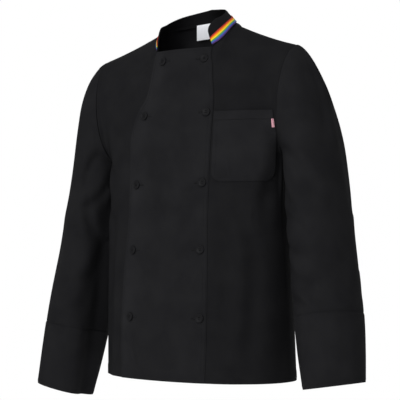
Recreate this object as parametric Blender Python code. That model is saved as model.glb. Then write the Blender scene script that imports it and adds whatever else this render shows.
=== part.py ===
"""Chef jacket, size M, in the hollow form that it has when it is worn.

Metres, +Z up. The front faces -Y and the wearer's left is +X. The origin lies
midway between the two points where the shoulder seams meet the collar, which is
where the jacket hangs on its wearer.

Every panel is a wall raised on one smooth body form, so neighbours share their
seam and a layer that lies on another is the same form moved out.
"""

import math
from collections import namedtuple

import bmesh
import bpy
import numpy as np

# Cloth and sewing
WALL = 0.0012  # one layer of twill
DOUBLE_WALL = 0.0020  # two layers: overlap panel, collar, cuffs
SEAM_GAP = 0.0003  # between two pieces that are sewn edge to edge
LAYER_GAP = 0.0004  # between two pieces that lie on each other
TRIM_WALL = 0.0010  # ribbon, neck label and tag

# Body form: levels below the arms, from the hem up
HEM_HEIGHT = -0.7255
HEM_TILT = 0.018  # the hem hangs lower on the left by this much of the distance across
UNDERARM_HEIGHT = -0.275
UNDERARM_SHARE = 0.667  # share of a side that lies below the underarm
BLUNTNESS = 0.03  # how far the corners of a level stand out from an ellipse
Level = namedtuple("Level", "height half_width side front back")
LEVELS = (
    Level(-0.7255, 0.2130, 0.001, -0.1400, 0.122),
    Level(-0.6000, 0.2115, -0.002, -0.1330, 0.116),
    Level(-0.4640, 0.2090, -0.007, -0.1210, 0.109),
    Level(-0.3600, 0.2085, -0.012, -0.1110, 0.106),
    Level(-0.2750, 0.2120, -0.012, -0.1030, 0.107),
)

# Neck opening, an oval on which the collar stands. A turn is an angle from the
# centre front round to the centre back.
NECK_HALF_WIDTH = 0.0907
NECK_HALF_DEPTH = 0.0660
NECK_CENTRE = -0.0066
COLLAR_END_TURN = math.radians(50.5)
SHOULDER_TURN = math.radians(100)
FRONT_EDGE_DIP = 0.0134  # the front edge bulges this far in front of the collar ends
NeckLine = namedtuple("NeckLine", "turn height")
NECK_LINE = (
    NeckLine(50.5, -0.0515),
    NeckLine(68.5, -0.0323),
    NeckLine(87.0, -0.0120),
    NeckLine(117.0, 0.0034),
    NeckLine(151.5, 0.0127),
    NeckLine(180.0, 0.0168),
)
SHOULDER_TIP = (0.240, 0.000, -0.0555)
SHOULDER_SAG = 0.003  # of the shoulder seam midway between neck and tip

# Share of half a panel's width, from the centre to the side, at the neck's marks
COLLAR_END_SHARE = 0.21
SHOULDER_SHARE = 0.34

# The corners of the neckline ease out below it over this share of half a panel
EASING = 0.11
EASING_FADE = 3  # it dies out towards the armholes
EASING_WEIGHTS = ((-1.5, 0.1), (-1, 0.15), (-0.5, 0.15), (0, 0.2), (0.5, 0.15), (1, 0.15), (1.5, 0.1))

# How the panels leave the underarm level and reach the shoulder and neck
LEAVE_LENGTH = 0.220
ARMHOLE_POWER = 6  # how closely the panels keep to the levels' slope up to the armhole
LEAVE_ARMHOLE = (0.050, 0.205, 0.100)
REACH_FRONT_EDGE = (0, 0.050, 0.210)
REACH_SHOULDER_FRONT = (0, 0.170, 0.060)
REACH_TIP_FRONT = (0.034, 0.205, 0.060)
REACH_NAPE = (0, -0.100, 0.170)
REACH_SHOULDER_BACK = (0, -0.170, -0.060)
REACH_TIP_BACK = (0.034, -0.205, 0.060)

# Collar
COLLAR_TOP_HALF_WIDTH = 0.069
COLLAR_TOP_HALF_DEPTH = 0.070
COLLAR_TOP_CENTRE = -0.021
COLLAR_TOP_END_TURN = math.radians(60.4)
COLLAR_TILT = 0.05  # its top rises to the left by this much of the distance across
COLLAR_CLEARANCE = 1.6  # times the cloth under its seam, which slopes
COLLAR_CORNER = 0.009  # radius of its front corners
RIBBON_SHARE = 0.47  # of the collar's height, from the neck seam up
RIBBON_RAISE = 0.12  # of the ribbon's lower half, left clear above the seam
CollarTop = namedtuple("CollarTop", "turn height")
COLLAR_TOP = (
    CollarTop(60.4, -0.0180),
    CollarTop(68.0, -0.0050),
    CollarTop(95.0, 0.0125),
    CollarTop(125.0, 0.0290),
    CollarTop(155.0, 0.0385),
    CollarTop(180.0, 0.0430),
)

# Front edges: distances from the centre front, round the body
FrontEdge = namedtuple("FrontEdge", "height free_edge joining_seam")
FRONT_EDGES = (
    FrontEdge(-0.7255, 0.111, 0.098),
    FrontEdge(-0.6500, 0.116, 0.100),
    FrontEdge(-0.5200, 0.113, 0.099),
    FrontEdge(-0.4100, 0.105, 0.095),
    FrontEdge(-0.3200, 0.104, 0.094),
    FrontEdge(-0.2100, 0.106, 0.095),
    FrontEdge(-0.1750, 0.098, 0.097),
    FrontEdge(-0.1350, 0.080, 0.098),
    FrontEdge(-0.0900, 0.073, 0.100),
    FrontEdge(-0.0515, 0.070, 0.109),
)
FRONT_CLIMB = 0.675  # from the hem to the neck
PLACE_STEPS = 12  # in which a place on the front is found
UNDERLAP = 0.010  # the under front stops this far short of the joining seam
STEP_WIDTH = 0.060  # the left front rises to the overlap panel over this width
NECK_STEP_WIDTH = 0.010  # and over this one at the collar
HALF_FRONT = 0.33  # from the centre front to a side seam, round the body
YOKE_SHARE = 0.13  # where the columns that meet the neck leave the front's edges
TOP_EASE = 0.80  # ups from which the front's edges run to the collar's ends
COLUMN_EASE = 0.60  # and from which its columns do
SEAM_SPREAD = 6  # the joining seam's gap opens so much where the edges slant

# Buttons
BUTTON_RADIUS = 0.009
BUTTON_THICKNESS = 0.0032
BUTTON_CHAMFER = 0.0007
BUTTON_DISH_RADIUS = 0.0065
BUTTON_DISH_DEPTH = 0.0006
ButtonRow = namedtuple("ButtonRow", "height left right")
BUTTON_ROWS = (
    ButtonRow(-0.075, 0.059, 0.042),
    ButtonRow(-0.187, 0.081, 0.076),
    ButtonRow(-0.329, 0.080, 0.085),
    ButtonRow(-0.463, 0.082, 0.088),
    ButtonRow(-0.599, 0.086, 0.089),
)

# Chest pocket
POCKET_INSET = 0.005
POCKET_WIDTH = 0.131
POCKET_TOP = -0.187
POCKET_BOTTOM = -0.328
POCKET_CORNER = 0.020
POCKET_BAND = 0.018
POCKET_BAND_RAISE = 0.0008  # how far the band stands out, and the length of its step
POCKET_BAND_STEP = 0.0004
POCKET_CLEARANCE = 0.0011

# Tag in the pocket's side seam
TAG_LENGTH = 0.007
TAG_TOP = -0.203
TAG_BOTTOM = -0.222

# Neck label
LABEL_CENTRE_SHARE = -0.085
LABEL_WIDTH = 0.037
LABEL_HEIGHT = 0.036
LABEL_CLEARANCE = 0.0015  # its lower edge hangs this far off the back

# Sleeves: centre and half sizes of the level sections, from the underarm down
Arm = namedtuple("Arm", "height out fore half_width half_depth")
LEFT_ARM = (
    Arm(-0.285, 0.2710, 0.014, 0.0540, 0.078),
    Arm(-0.335, 0.2775, 0.010, 0.0575, 0.078),
    Arm(-0.400, 0.2865, 0.003, 0.0590, 0.078),
    Arm(-0.468, 0.2965, -0.003, 0.0605, 0.078),
    Arm(-0.535, 0.3062, -0.009, 0.0620, 0.078),
    Arm(-0.600, 0.3155, -0.014, 0.0630, 0.078),
    Arm(-0.665, 0.3245, -0.022, 0.0608, 0.075),
    Arm(-0.729, 0.3345, -0.031, 0.0558, 0.070),
)
RIGHT_ARM = (
    Arm(-0.285, 0.2680, 0.014, 0.0520, 0.078),
    Arm(-0.335, 0.2725, 0.010, 0.0550, 0.078),
    Arm(-0.400, 0.2795, 0.003, 0.0590, 0.078),
    Arm(-0.468, 0.2885, -0.003, 0.0600, 0.078),
    Arm(-0.535, 0.3000, -0.009, 0.0610, 0.078),
    Arm(-0.610, 0.3140, -0.016, 0.0610, 0.077),
    Arm(-0.685, 0.3265, -0.025, 0.0570, 0.074),
    Arm(-0.764, 0.3400, -0.034, 0.0525, 0.069),
)
CUFF_LENGTH = 0.137
LEFT_CUFF_SLANT = (0.0080, math.radians(91))  # the hem's drop, and the turn it drops towards
RIGHT_CUFF_SLANT = (0.0040, math.radians(215))
CAP_BREADTH = 0.6  # below 1, the head is broad from front to back
LEFT_CAP_PUSH = 0.56  # how strongly the sleeve head runs out from the armhole
RIGHT_CAP_PUSH = 0.78
CAP_FALL = 0.85  # and how strongly it falls
CAP_FOLLOW = 0.15  # how much of the panels' direction it keeps under the arm
UNDERARM_CLEARANCE = 0.0016  # there it starts this far above the panels
CAP_DROOP = 0.35  # slope at which it leaves there
UNDERARM_TURN = 0.040  # it turns down under the arm over at least this length

# Mesh density
LOW_ROWS = 11
HIGH_ROWS = 12
CAP_ROWS = 8
ARM_ROWS = 9
CUFF_ROWS = 4
FRONT_NECK_COLUMNS = 4
BACK_NECK_COLUMNS = 9
SHOULDER_COLUMNS = 7
LAP_COLUMNS = 10
CORNER_COLUMNS = 4
RIBBON_ROWS = 3  # on the ribbon, and as many again above it
BUTTON_SIDES = 18
TABLE_UPS = 121  # of the table of distances from the centre front
TABLE_SHARES = 161
LABEL_POINTS = 5
TAG_POINTS = 4
POCKET_CORNER_POINTS = 5
POCKET_MIDDLE_POINTS = 7
POCKET_ROWS = 10

NEAR = 0.01  # share or ups between two points whose distance gives a panel's size
FINE = 0.001  # and between those that give its slope

Finish = namedtuple("Finish", "colour roughness metallic")
FINISHES = {
    "black_twill": Finish((0.0125, 0.0125, 0.0140), 0.85, 0.0),
    "rainbow_ribbon": Finish((0.80, 0.45, 0.10), 0.55, 0.0),
    "black_plastic": Finish((0.010, 0.010, 0.012), 0.35, 0.0),
    "white_label": Finish((0.82, 0.82, 0.82), 0.70, 0.0),
    "pink_tag": Finish((0.85, 0.42, 0.45), 0.65, 0.0),
}


def ease(value, low, high):
    """0 below low, 1 above high, and a smooth rise between them."""
    share = np.clip((np.asarray(value, float) - low) / (high - low), 0, 1)
    return share * share * (3 - 2 * share)


def along(rows, column, place):
    """The smooth curve of a table's column over the table's first column."""
    xs = np.array([row[0] for row in rows], float)
    ys = np.array([getattr(row, column) for row in rows], float)
    slopes = np.gradient(ys, xs)
    place = np.clip(np.asarray(place, float), xs[0], xs[-1])
    low = np.clip(np.searchsorted(xs, place, side="right") - 1, 0, len(xs) - 2)
    step = xs[low + 1] - xs[low]
    share = (place - xs[low]) / step
    rest = 1 - share
    return (
        ys[low] * (1 + 2 * share) * rest**2
        + ys[low + 1] * (1 + 2 * rest) * share**2
        + slopes[low] * step * share * rest**2
        - slopes[low + 1] * step * rest * share**2
    )


def between(start, end, leave, reach, share):
    """The curve from start to end that leaves and reaches them along two vectors."""
    rest = 1 - share
    return (
        start * (1 + 2 * share) * rest**2
        + end * (1 + 2 * rest) * share**2
        + leave * share * rest**2
        - reach * rest * share**2
    )


def unit(vectors):
    return vectors / np.linalg.norm(vectors, axis=-1, keepdims=True)


def body_level(face, across, height):
    """A point of the body below the arms. face is -1 for the front and 1 for the back."""
    side = along(LEVELS, "side", height)
    reach = along(LEVELS, "front" if face < 0 else "back", height) - side
    turn = across * math.pi / 2
    push = 1 + BLUNTNESS * np.sin(2 * turn) ** 2
    x = along(LEVELS, "half_width", height) * np.sin(turn) * push
    return np.stack([x, side + reach * np.cos(turn) * push, height + 0 * x], -1)


def neck_oval(turn):
    x = NECK_HALF_WIDTH * np.sin(turn)
    y = NECK_CENTRE - NECK_HALF_DEPTH * np.cos(turn)
    return np.stack([x, y, along(NECK_LINE, "height", np.degrees(turn))], -1)


def collar_top(turn):
    x = COLLAR_TOP_HALF_WIDTH * np.sin(turn)
    y = COLLAR_TOP_CENTRE - COLLAR_TOP_HALF_DEPTH * np.cos(turn)
    return np.stack([x, y, along(COLLAR_TOP, "height", np.degrees(turn))], -1)


def front_edge_curve(share):
    """The front's top edge from the centre (0) to a collar end (1)."""
    end = neck_oval(np.array(COLLAR_END_TURN))
    dip = FRONT_EDGE_DIP * (1 - share**2)
    return np.stack([end[0] * share, end[1] - dip, end[2] + 0 * share], -1)


def body_top(face, across):
    """The top edge of the front or back: neckline, then shoulder seam."""
    reach = np.abs(across)
    neck_point = neck_oval(np.array(SHOULDER_TURN))
    share = np.clip((reach - SHOULDER_SHARE) / (1 - SHOULDER_SHARE), 0, 1)[..., None]
    shoulder = neck_point + (np.array(SHOULDER_TIP) - neck_point) * share
    shoulder[..., 2:] -= SHOULDER_SAG * 4 * share * (1 - share)
    if face < 0:
        width = SHOULDER_SHARE - COLLAR_END_SHARE
        share = np.clip((reach - COLLAR_END_SHARE) / width, 0, 1)
        ring = neck_oval(COLLAR_END_TURN + (SHOULDER_TURN - COLLAR_END_TURN) * share)
        edge = front_edge_curve(np.clip(reach / COLLAR_END_SHARE, 0, 1))
        neck = np.where((reach > COLLAR_END_SHARE)[..., None], ring, edge)
    else:
        share = np.clip(reach / SHOULDER_SHARE, 0, 1)
        neck = neck_oval(math.pi - (math.pi - SHOULDER_TURN) * share)
    point = np.where((reach > SHOULDER_SHARE)[..., None], shoulder, neck)
    point[..., 0] *= np.where(across < 0, -1, 1)
    return point


def reaching(face, across):
    """The direction in which the front or back arrives at its top edge."""
    reach = np.abs(across)[..., None]
    tip = ease(reach, SHOULDER_SHARE, 1)
    if face < 0:
        centre, neck, end = REACH_FRONT_EDGE, REACH_SHOULDER_FRONT, REACH_TIP_FRONT
        over = ease(reach, COLLAR_END_SHARE / 2, SHOULDER_SHARE + COLLAR_END_SHARE / 4)
    else:
        centre, neck, end = REACH_NAPE, REACH_SHOULDER_BACK, REACH_TIP_BACK
        over = ease(reach, 0, SHOULDER_SHARE)
    shoulder = np.array(neck) * (1 - tip) + np.array(end) * tip
    vector = np.array(centre) * (1 - over) + shoulder * over
    vector[..., 0] *= np.sign(across)
    return vector


def body_above(face, across, share):
    """The body form above the underarm level, before its folds at the neck are eased."""
    height = np.full(across.shape, UNDERARM_HEIGHT)
    start = body_level(face, across, height)
    below = body_level(face, across, height - NEAR)
    armhole = (np.abs(across) ** ARMHOLE_POWER)[..., None]
    turned = np.stack([np.sign(across), face + 0 * across, 1 + 0 * across], -1)
    leave = (start - below) * LEAVE_LENGTH / NEAR * (1 - armhole)
    leave = leave + np.array(LEAVE_ARMHOLE) * turned * armhole
    end = body_top(face, across)
    return between(start, end, leave, reaching(face, across), share[..., None])


def body(face, across, up):
    """The body form. across runs from -1 to 1 between the side seams or armholes, and
    up from 0 at the hem to 1 at the neckline and shoulder seams."""
    across, up = np.broadcast_arrays(np.asarray(across, float), np.asarray(up, float))
    rise = np.clip(up / UNDERARM_SHARE, 0, 1)
    low = body_level(face, across, HEM_HEIGHT + rise * (UNDERARM_HEIGHT - HEM_HEIGHT))
    low[..., 2] -= HEM_TILT * low[..., 0] * (1 - rise)
    share = np.clip((up - UNDERARM_SHARE) / (1 - UNDERARM_SHARE), 0, 1)
    inwards = np.minimum(1, EASING_FADE * (1 - np.abs(across)))
    soft = EASING * 2 * share * (1 - share) * inwards
    high = sum(
        weight * body_above(face, np.clip(across + soft * step, -1, 1), share)
        for step, weight in EASING_WEIGHTS
    )
    return np.where((up > UNDERARM_SHARE)[..., None], high, low)


def body_normal(face, across, up):
    """Unit normals of the body form, pointing out."""
    left = body(face, np.clip(across + FINE, -1, 1), up)
    right = body(face, np.clip(across - FINE, -1, 1), up)
    above = body(face, across, np.clip(up + FINE, 0, 1))
    below = body(face, across, np.clip(up - FINE, 0, 1))
    return unit(np.cross(left - right, above - below)) * -face


def distance_table():
    """How far the front's points lie from the centre front, on a grid of ups and shares."""
    ups = np.linspace(0, 1, TABLE_UPS)
    shares = np.linspace(0, 1, TABLE_SHARES)
    points = body(-1, shares[None, :], ups[:, None])
    steps = np.linalg.norm(np.diff(points, axis=1), axis=2)
    return ups, shares, np.pad(np.cumsum(steps, axis=1), ((0, 0), (1, 0)))


UPS, SHARES, DISTANCES = distance_table()


def share_at(up, distance):
    """The across share of points at a signed distance from the centre front."""
    up, distance = np.broadcast_arrays(np.asarray(up, float), np.asarray(distance, float))
    flat = []
    for one_up, one_distance in zip(up.ravel(), distance.ravel()):
        place = one_up * (len(UPS) - 1)
        low = min(int(place), len(UPS) - 2)
        row = DISTANCES[low] + (DISTANCES[low + 1] - DISTANCES[low]) * (place - low)
        flat.append(math.copysign(np.interp(abs(one_distance), row, SHARES), one_distance))
    return np.array(flat).reshape(up.shape)


def front_place(distance, height):
    """(across, up) of the front's points at these distances and heights."""
    distance, height = np.broadcast_arrays(np.asarray(distance, float), np.asarray(height, float))
    climb = FRONT_CLIMB
    up = np.clip((height - HEM_HEIGHT) / climb, 0, 1)
    for _ in range(PLACE_STEPS):
        found = body(-1, share_at(up, distance), up)[..., 2]
        up = np.clip(up + (height - found) / climb, 0, 1)
    return share_at(up, distance), up


def body_ups():
    """The rows of every body panel. Those above the underarm are the armhole's points."""
    low = np.linspace(0, UNDERARM_SHARE, LOW_ROWS + 1)[:-1]
    swing = 0.5 - 0.5 * np.cos(np.linspace(0, math.pi, HIGH_ROWS + 1))
    return np.concatenate([low, UNDERARM_SHARE + (1 - UNDERARM_SHARE) * swing])


BODY_UPS = body_ups()


def edge_share(column):
    """The across share of the overlap panel's free edge or joining seam, row by row.
    Both end at the collar's ends."""
    heights = body(-1, SHOULDER_SHARE, BODY_UPS)[:, 2]
    share = share_at(BODY_UPS, along(FRONT_EDGES, column, heights))
    over = ease(BODY_UPS, TOP_EASE, 1)
    return share * (1 - over) + COLLAR_END_SHARE * over


def spread(edges, counts):
    """Columns between edges, each a share or an array of one share for each row."""
    edges = [np.broadcast_to(edge, BODY_UPS.shape) for edge in edges]
    columns = []
    for low, high, count in zip(edges, edges[1:], counts):
        columns += [low + (high - low) * step / count for step in range(count)]
    return np.stack(columns + [edges[-1]], 1)


def seam_share(rows=BODY_UPS):
    """The across share of a side edge, half a seam gap short of the side seam."""
    step = np.linalg.norm(body(-1, 1 - NEAR, rows) - body(-1, 1, rows), axis=-1) / NEAR
    return 1 - SEAM_GAP / 2 / step


def trimmed(ups, across, face):
    """The rows' ups, with the top row half a seam gap below the top edge."""
    ups = np.repeat(ups[:, None], across.shape[1], 1)
    last = body(face, across[-1], 1)
    before = body(face, across[-1], 1 - NEAR)
    ups[-1] -= SEAM_GAP / 2 / (np.linalg.norm(last - before, axis=-1) / NEAR)
    return ups


def walled(points, normals, inside, outside):
    """The two faces of a wall that stands between two offsets from a form."""
    inside = np.broadcast_to(inside, points.shape[:2])[..., None]
    outside = np.broadcast_to(outside, points.shape[:2])[..., None]
    return points + normals * inside, points + normals * outside


def material(name):
    if name in bpy.data.materials:
        return bpy.data.materials[name]
    finish = FINISHES[name]
    made = bpy.data.materials.new(name)
    made.use_nodes = True
    shader = made.node_tree.nodes["Principled BSDF"]
    shader.inputs["Base Color"].default_value = (*finish.colour, 1)
    shader.inputs["Roughness"].default_value = finish.roughness
    shader.inputs["Metallic"].default_value = finish.metallic
    made.diffuse_color = (*finish.colour, 1)
    return made


def add_object(name, points, faces, slot):
    mesh = bpy.data.meshes.new(name)
    mesh.from_pydata([tuple(point) for point in points], [], faces)
    shape = bmesh.new()
    shape.from_mesh(mesh)
    bmesh.ops.recalc_face_normals(shape, faces=shape.faces)
    shape.to_mesh(mesh)
    shape.free()
    mesh.shade_smooth()
    mesh.materials.append(material(slot))
    made = bpy.data.objects.new(name, mesh)
    bpy.context.scene.collection.objects.link(made)
    return made


def add_wall(name, inner, outer, slot, closed=False):
    """A solid between two grids of points. closed joins each row's last point to its first."""
    rows, columns = inner.shape[:2]
    count = rows * columns

    def corner(row, column, side):
        return side * count + row * columns + column % columns

    faces = []
    spans = columns if closed else columns - 1
    for row in range(rows - 1):
        for column in range(spans):
            for side in (0, 1):
                here = corner(row, column, side)
                across = corner(row, column + 1, side)
                above = corner(row + 1, column, side)
                beyond = corner(row + 1, column + 1, side)
                faces += [(here, across, beyond), (here, beyond, above)]
    for row in (0, rows - 1):
        for column in range(spans):
            faces.append(
                [
                    corner(row, column, 0),
                    corner(row, column + 1, 0),
                    corner(row, column + 1, 1),
                    corner(row, column, 1),
                ]
            )
    if not closed:
        for column in (0, columns - 1):
            for row in range(rows - 1):
                faces.append(
                    [
                        corner(row, column, 0),
                        corner(row + 1, column, 0),
                        corner(row + 1, column, 1),
                        corner(row, column, 1),
                    ]
                )
    points = np.concatenate([inner.reshape(-1, 3), outer.reshape(-1, 3)])
    return add_object(name, points, faces, slot)


def add_panel(name, face, across, inside, outside, slot="black_twill"):
    ups = trimmed(BODY_UPS, across, face)
    points = body(face, across, ups)
    normals = body_normal(face, across, ups)
    return add_wall(name, *walled(points, normals, inside, outside), slot)


def left_lift(across, ups):
    """How far the left front's inner face stands out from the body form: it rises to
    the overlap panel at their seam."""
    seam = np.interp(ups, BODY_UPS, edge_share("joining_seam"))
    beyond = (across - seam) * HALF_FRONT
    width = STEP_WIDTH + (NECK_STEP_WIDTH - STEP_WIDTH) * ease(ups, TOP_EASE, 1)
    return (WALL + LAYER_GAP) * (1 - ease(beyond / width, 0, 1))


def add_body():
    side = seam_share()
    free = edge_share("free_edge")
    seam = edge_share("joining_seam")
    over = ease(BODY_UPS, COLUMN_EASE, 1)
    gap = SEAM_GAP / 2 / HALF_FRONT * (1 + SEAM_SPREAD * over)
    short = seam - UNDERLAP / HALF_FRONT
    neck = (seam + YOKE_SHARE) * (1 - over) + SHOULDER_SHARE * over
    back_counts = (SHOULDER_COLUMNS, 2 * BACK_NECK_COLUMNS, SHOULDER_COLUMNS)
    back = spread((-side, -SHOULDER_SHARE, SHOULDER_SHARE, side), back_counts)
    add_panel("back", 1, back, 0, WALL)
    right_counts = (SHOULDER_COLUMNS, FRONT_NECK_COLUMNS, LAP_COLUMNS)
    right = spread((-side, -neck, -free, short), right_counts)
    add_panel("front_right", -1, right, 0, WALL)
    left = spread((seam + gap, neck, side), (FRONT_NECK_COLUMNS, SHOULDER_COLUMNS))
    lift = left_lift(left, BODY_UPS[:, None])
    add_panel("front_left", -1, left, lift, lift + WALL)
    overlap = spread((-free, short, seam - gap), (LAP_COLUMNS, 1))
    low = WALL + LAYER_GAP
    add_panel("overlap_panel", -1, overlap, low, low + DOUBLE_WALL)


def collar_grid():
    """The collar's inner face: rows from the neck seam up, columns round the neck."""
    corner = np.linspace(0, COLLAR_CORNER / NECK_HALF_WIDTH, CORNER_COLUMNS + 1)
    front = np.linspace(COLLAR_END_TURN + corner[-1], SHOULDER_TURN, FRONT_NECK_COLUMNS + 1)
    back = np.linspace(SHOULDER_TURN, math.pi, BACK_NECK_COLUMNS + 1)
    turns = np.concatenate([COLLAR_END_TURN + corner[:-1], front[:-1], back])
    progress = (turns - COLLAR_END_TURN) / (math.pi - COLLAR_END_TURN)
    base = neck_oval(turns)
    top = collar_top(COLLAR_TOP_END_TURN + (math.pi - COLLAR_TOP_END_TURN) * progress)
    height = np.linalg.norm(top - base, axis=1)
    share = COLLAR_END_SHARE + (turns - COLLAR_END_TURN) * (
        (SHOULDER_SHARE - COLLAR_END_SHARE) / (SHOULDER_TURN - COLLAR_END_TURN)
    )
    start = SEAM_GAP + COLLAR_CLEARANCE * (WALL + left_lift(share, 1.0))
    low = np.linspace(0, RIBBON_SHARE, RIBBON_ROWS)
    shares = np.concatenate([low, np.linspace(RIBBON_SHARE, 1, RIBBON_ROWS)[1:]])
    inset = np.clip(COLLAR_CORNER - np.linalg.norm(base[:1] - base, axis=1), 0, None)
    cut = COLLAR_CORNER - np.sqrt(COLLAR_CORNER**2 - inset**2)
    over = np.clip((shares - RIBBON_SHARE) / (1 - RIBBON_SHARE), 0, 1)[:, None]
    length = start + shares[:, None] * (height - start) - over * cut
    half = base + unit(top - base) * length[..., None]
    mirror = half[:, -2::-1] * np.array((-1, 1, 1))
    whole = np.concatenate([half, mirror], 1)
    whole[..., 2] += COLLAR_TILT * whole[..., 0] * shares[:, None]
    return whole


def grid_normals(grid, outward):
    """Unit normals of a grid of points, all on the side that the outward vectors take."""
    across = np.gradient(grid, axis=1)
    up = np.gradient(grid, axis=0)
    normals = unit(np.cross(across, up))
    return normals * np.sign((normals * outward).sum())


def add_collar():
    grid = collar_grid()
    outward = grid - np.array((0, NECK_CENTRE, 0))
    outward[..., 2] = 0
    normals = grid_normals(grid, outward)
    add_wall("collar", *walled(grid, normals, 0, DOUBLE_WALL), "black_twill")
    strip = grid[:RIBBON_ROWS].copy()
    strip[0] += (strip[1] - strip[0]) * RIBBON_RAISE
    facing = normals[:RIBBON_ROWS]
    start = DOUBLE_WALL + LAYER_GAP
    ribbon = walled(strip, facing, start, start + TRIM_WALL)
    add_wall("collar_ribbon", *ribbon, "rainbow_ribbon")


def armhole(side):
    """(points, normals, outward) round an armhole, from the shoulder tip by the front to
    the underarm and up the back. outward lies in the body form and leaves the armhole."""
    rows = BODY_UPS[LOW_ROWS:]
    front = rows[::-1]
    back = rows[1:-1]
    points = np.concatenate([body(-1, side, front), body(1, side, back)])
    inside = side * (1 - NEAR / 2)
    normals = np.concatenate([body_normal(-1, inside, front), body_normal(1, inside, back)])
    tip_back = body_normal(1, inside, rows[-1])
    low_back = body_normal(1, inside, rows[0])
    normals[0] = unit(normals[0] + tip_back)
    normals[HIGH_ROWS] = unit(normals[HIGH_ROWS] + low_back)
    tangent = np.roll(points, -1, 0) - np.roll(points, 1, 0)
    outward = unit(np.cross(tangent, normals)) * -side
    return points, normals, outward


def arm_section(rows, side, height):
    """(centre, outward, forward) of sleeve sections at these heights along the arm."""
    height = np.asarray(height, float)
    table = rows[::-1]

    def centre(at):
        at = np.clip(at, table[0].height, table[-1].height)
        return np.stack([side * along(table, "out", at), along(table, "fore", at), at], -1)

    down = unit(centre(height - FINE) - centre(height + FINE))
    outward = np.array((side, 0, 0)) - down * (down[..., :1] * side)
    outward = unit(outward)
    forward = unit(np.cross(down, outward)) * side
    forward = forward * -np.sign(forward[..., 1:2])
    return centre(height), outward, forward, down


def arm_ring(rows, side, height, around):
    """Points and normals of one sleeve section, and the direction down the arm."""
    centre, outward, forward, down = arm_section(rows, side, height)
    table = rows[::-1]
    wide = along(table, "half_width", height)
    deep = along(table, "half_depth", height)
    out = np.cos(around)[:, None] * outward
    fore = np.sin(around)[:, None] * forward
    points = centre + out * wide + fore * deep
    normals = unit(out / wide + fore / deep)
    return points, normals, down


def add_sleeve(name, cuff_name, rows, side, push, slant):
    edge, edge_normals, outward = armhole(side)
    count = len(edge)
    around = np.arange(count) * 2 * math.pi / count
    first, _, down = arm_ring(rows, side, rows[0].height, around)
    top = np.power(0.5 + 0.5 * np.cos(around), CAP_BREADTH)[:, None]
    start = edge + outward * (SEAM_GAP + UNDERARM_CLEARANCE * (1 - top))
    aside = np.array((side, 0, -CAP_DROOP))
    leave = unit(outward * (CAP_FOLLOW + top) + aside * (1 + CAP_FOLLOW - top))
    chord = np.linalg.norm(first - start, axis=1, keepdims=True)
    leave = leave * np.maximum(chord, UNDERARM_TURN) * push
    reach = down * chord * CAP_FALL
    rings = [start]
    for step in range(1, CAP_ROWS):
        share = step / CAP_ROWS
        rings.append(between(start, first, leave, reach, share))
    end = rows[-1].height
    climb = (rows[0].height - end) / sum(
        math.dist(a[:3], b[:3]) for a, b in zip(rows, rows[1:])
    )
    cuff_top = end + CUFF_LENGTH * climb
    heights = np.linspace(rows[0].height, cuff_top + SEAM_GAP / 2, ARM_ROWS + 1)
    rings += [arm_ring(rows, side, height, around)[0] for height in heights]
    grid = np.array(rings)
    centre = grid.mean(axis=1, keepdims=True)
    wrapped = np.concatenate([grid[:, -1:], grid, grid[:, :1]], 1)
    normals = grid_normals(wrapped, wrapped - centre)[:, 1:-1]
    normals[0] = edge_normals
    add_wall(name, *walled(grid, normals, 0, WALL), "black_twill", closed=True)

    heights = np.linspace(cuff_top - SEAM_GAP / 2, end, CUFF_ROWS + 1)
    made = [arm_ring(rows, side, height, around) for height in heights]
    grid = np.array([ring[0] for ring in made])
    normals = np.array([ring[1] for ring in made])
    drop, turn = slant
    grid[..., 2] -= drop * np.linspace(0, 1, CUFF_ROWS + 1)[:, None] * np.cos(around - turn)
    add_wall(cuff_name, *walled(grid, normals, 0, DOUBLE_WALL), "black_twill", closed=True)


def pocket_columns():
    """(distances from the pocket's left edge, how far each column stops short at the foot)."""
    turns = np.linspace(0, math.pi / 2, POCKET_CORNER_POINTS)
    corner = POCKET_CORNER * (1 - np.cos(turns))
    short = POCKET_CORNER * (1 - np.sin(turns))
    middle = np.linspace(POCKET_CORNER, POCKET_WIDTH - POCKET_CORNER, POCKET_MIDDLE_POINTS)[1:-1]
    distance = np.concatenate([corner, middle, POCKET_WIDTH - corner[::-1]])
    return distance, np.concatenate([short, 0 * middle, short[::-1]])


def add_pocket():
    across, short = pocket_columns()
    seam = along(FRONT_EDGES, "joining_seam", np.array((POCKET_TOP + POCKET_BOTTOM) / 2))
    distance = seam + POCKET_INSET + across
    band = POCKET_TOP - POCKET_BAND
    foot = POCKET_BOTTOM + short
    rows = foot + (band - foot) * np.linspace(0, 1, POCKET_ROWS)[:, None]
    hem = np.array([[band + POCKET_BAND_STEP], [POCKET_TOP]]) + 0 * distance
    heights = np.concatenate([rows, hem])
    distance = np.broadcast_to(distance, heights.shape)
    share, up = front_place(distance, heights)
    points = body(-1, share, up)
    normals = body_normal(-1, share, up)
    inside = left_lift(share, up) + WALL + POCKET_CLEARANCE
    outside = inside + WALL
    outside[-2:] += POCKET_BAND_RAISE
    add_wall("chest_pocket", *walled(points, normals, inside, outside), "black_twill")

    right = distance[0, -1] + 2 * SEAM_GAP
    distance = np.linspace(right, right + TAG_LENGTH, TAG_POINTS)[None, :]
    heights = np.linspace(TAG_BOTTOM, TAG_TOP, TAG_POINTS)[:, None]
    distance, heights = np.broadcast_arrays(distance, heights)
    share, up = front_place(distance, heights)
    inside = left_lift(share, up) + WALL + POCKET_CLEARANCE
    faces = walled(body(-1, share, up), body_normal(-1, share, up), inside, inside + TRIM_WALL)
    add_wall("pocket_tag", *faces, "pink_tag")


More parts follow.
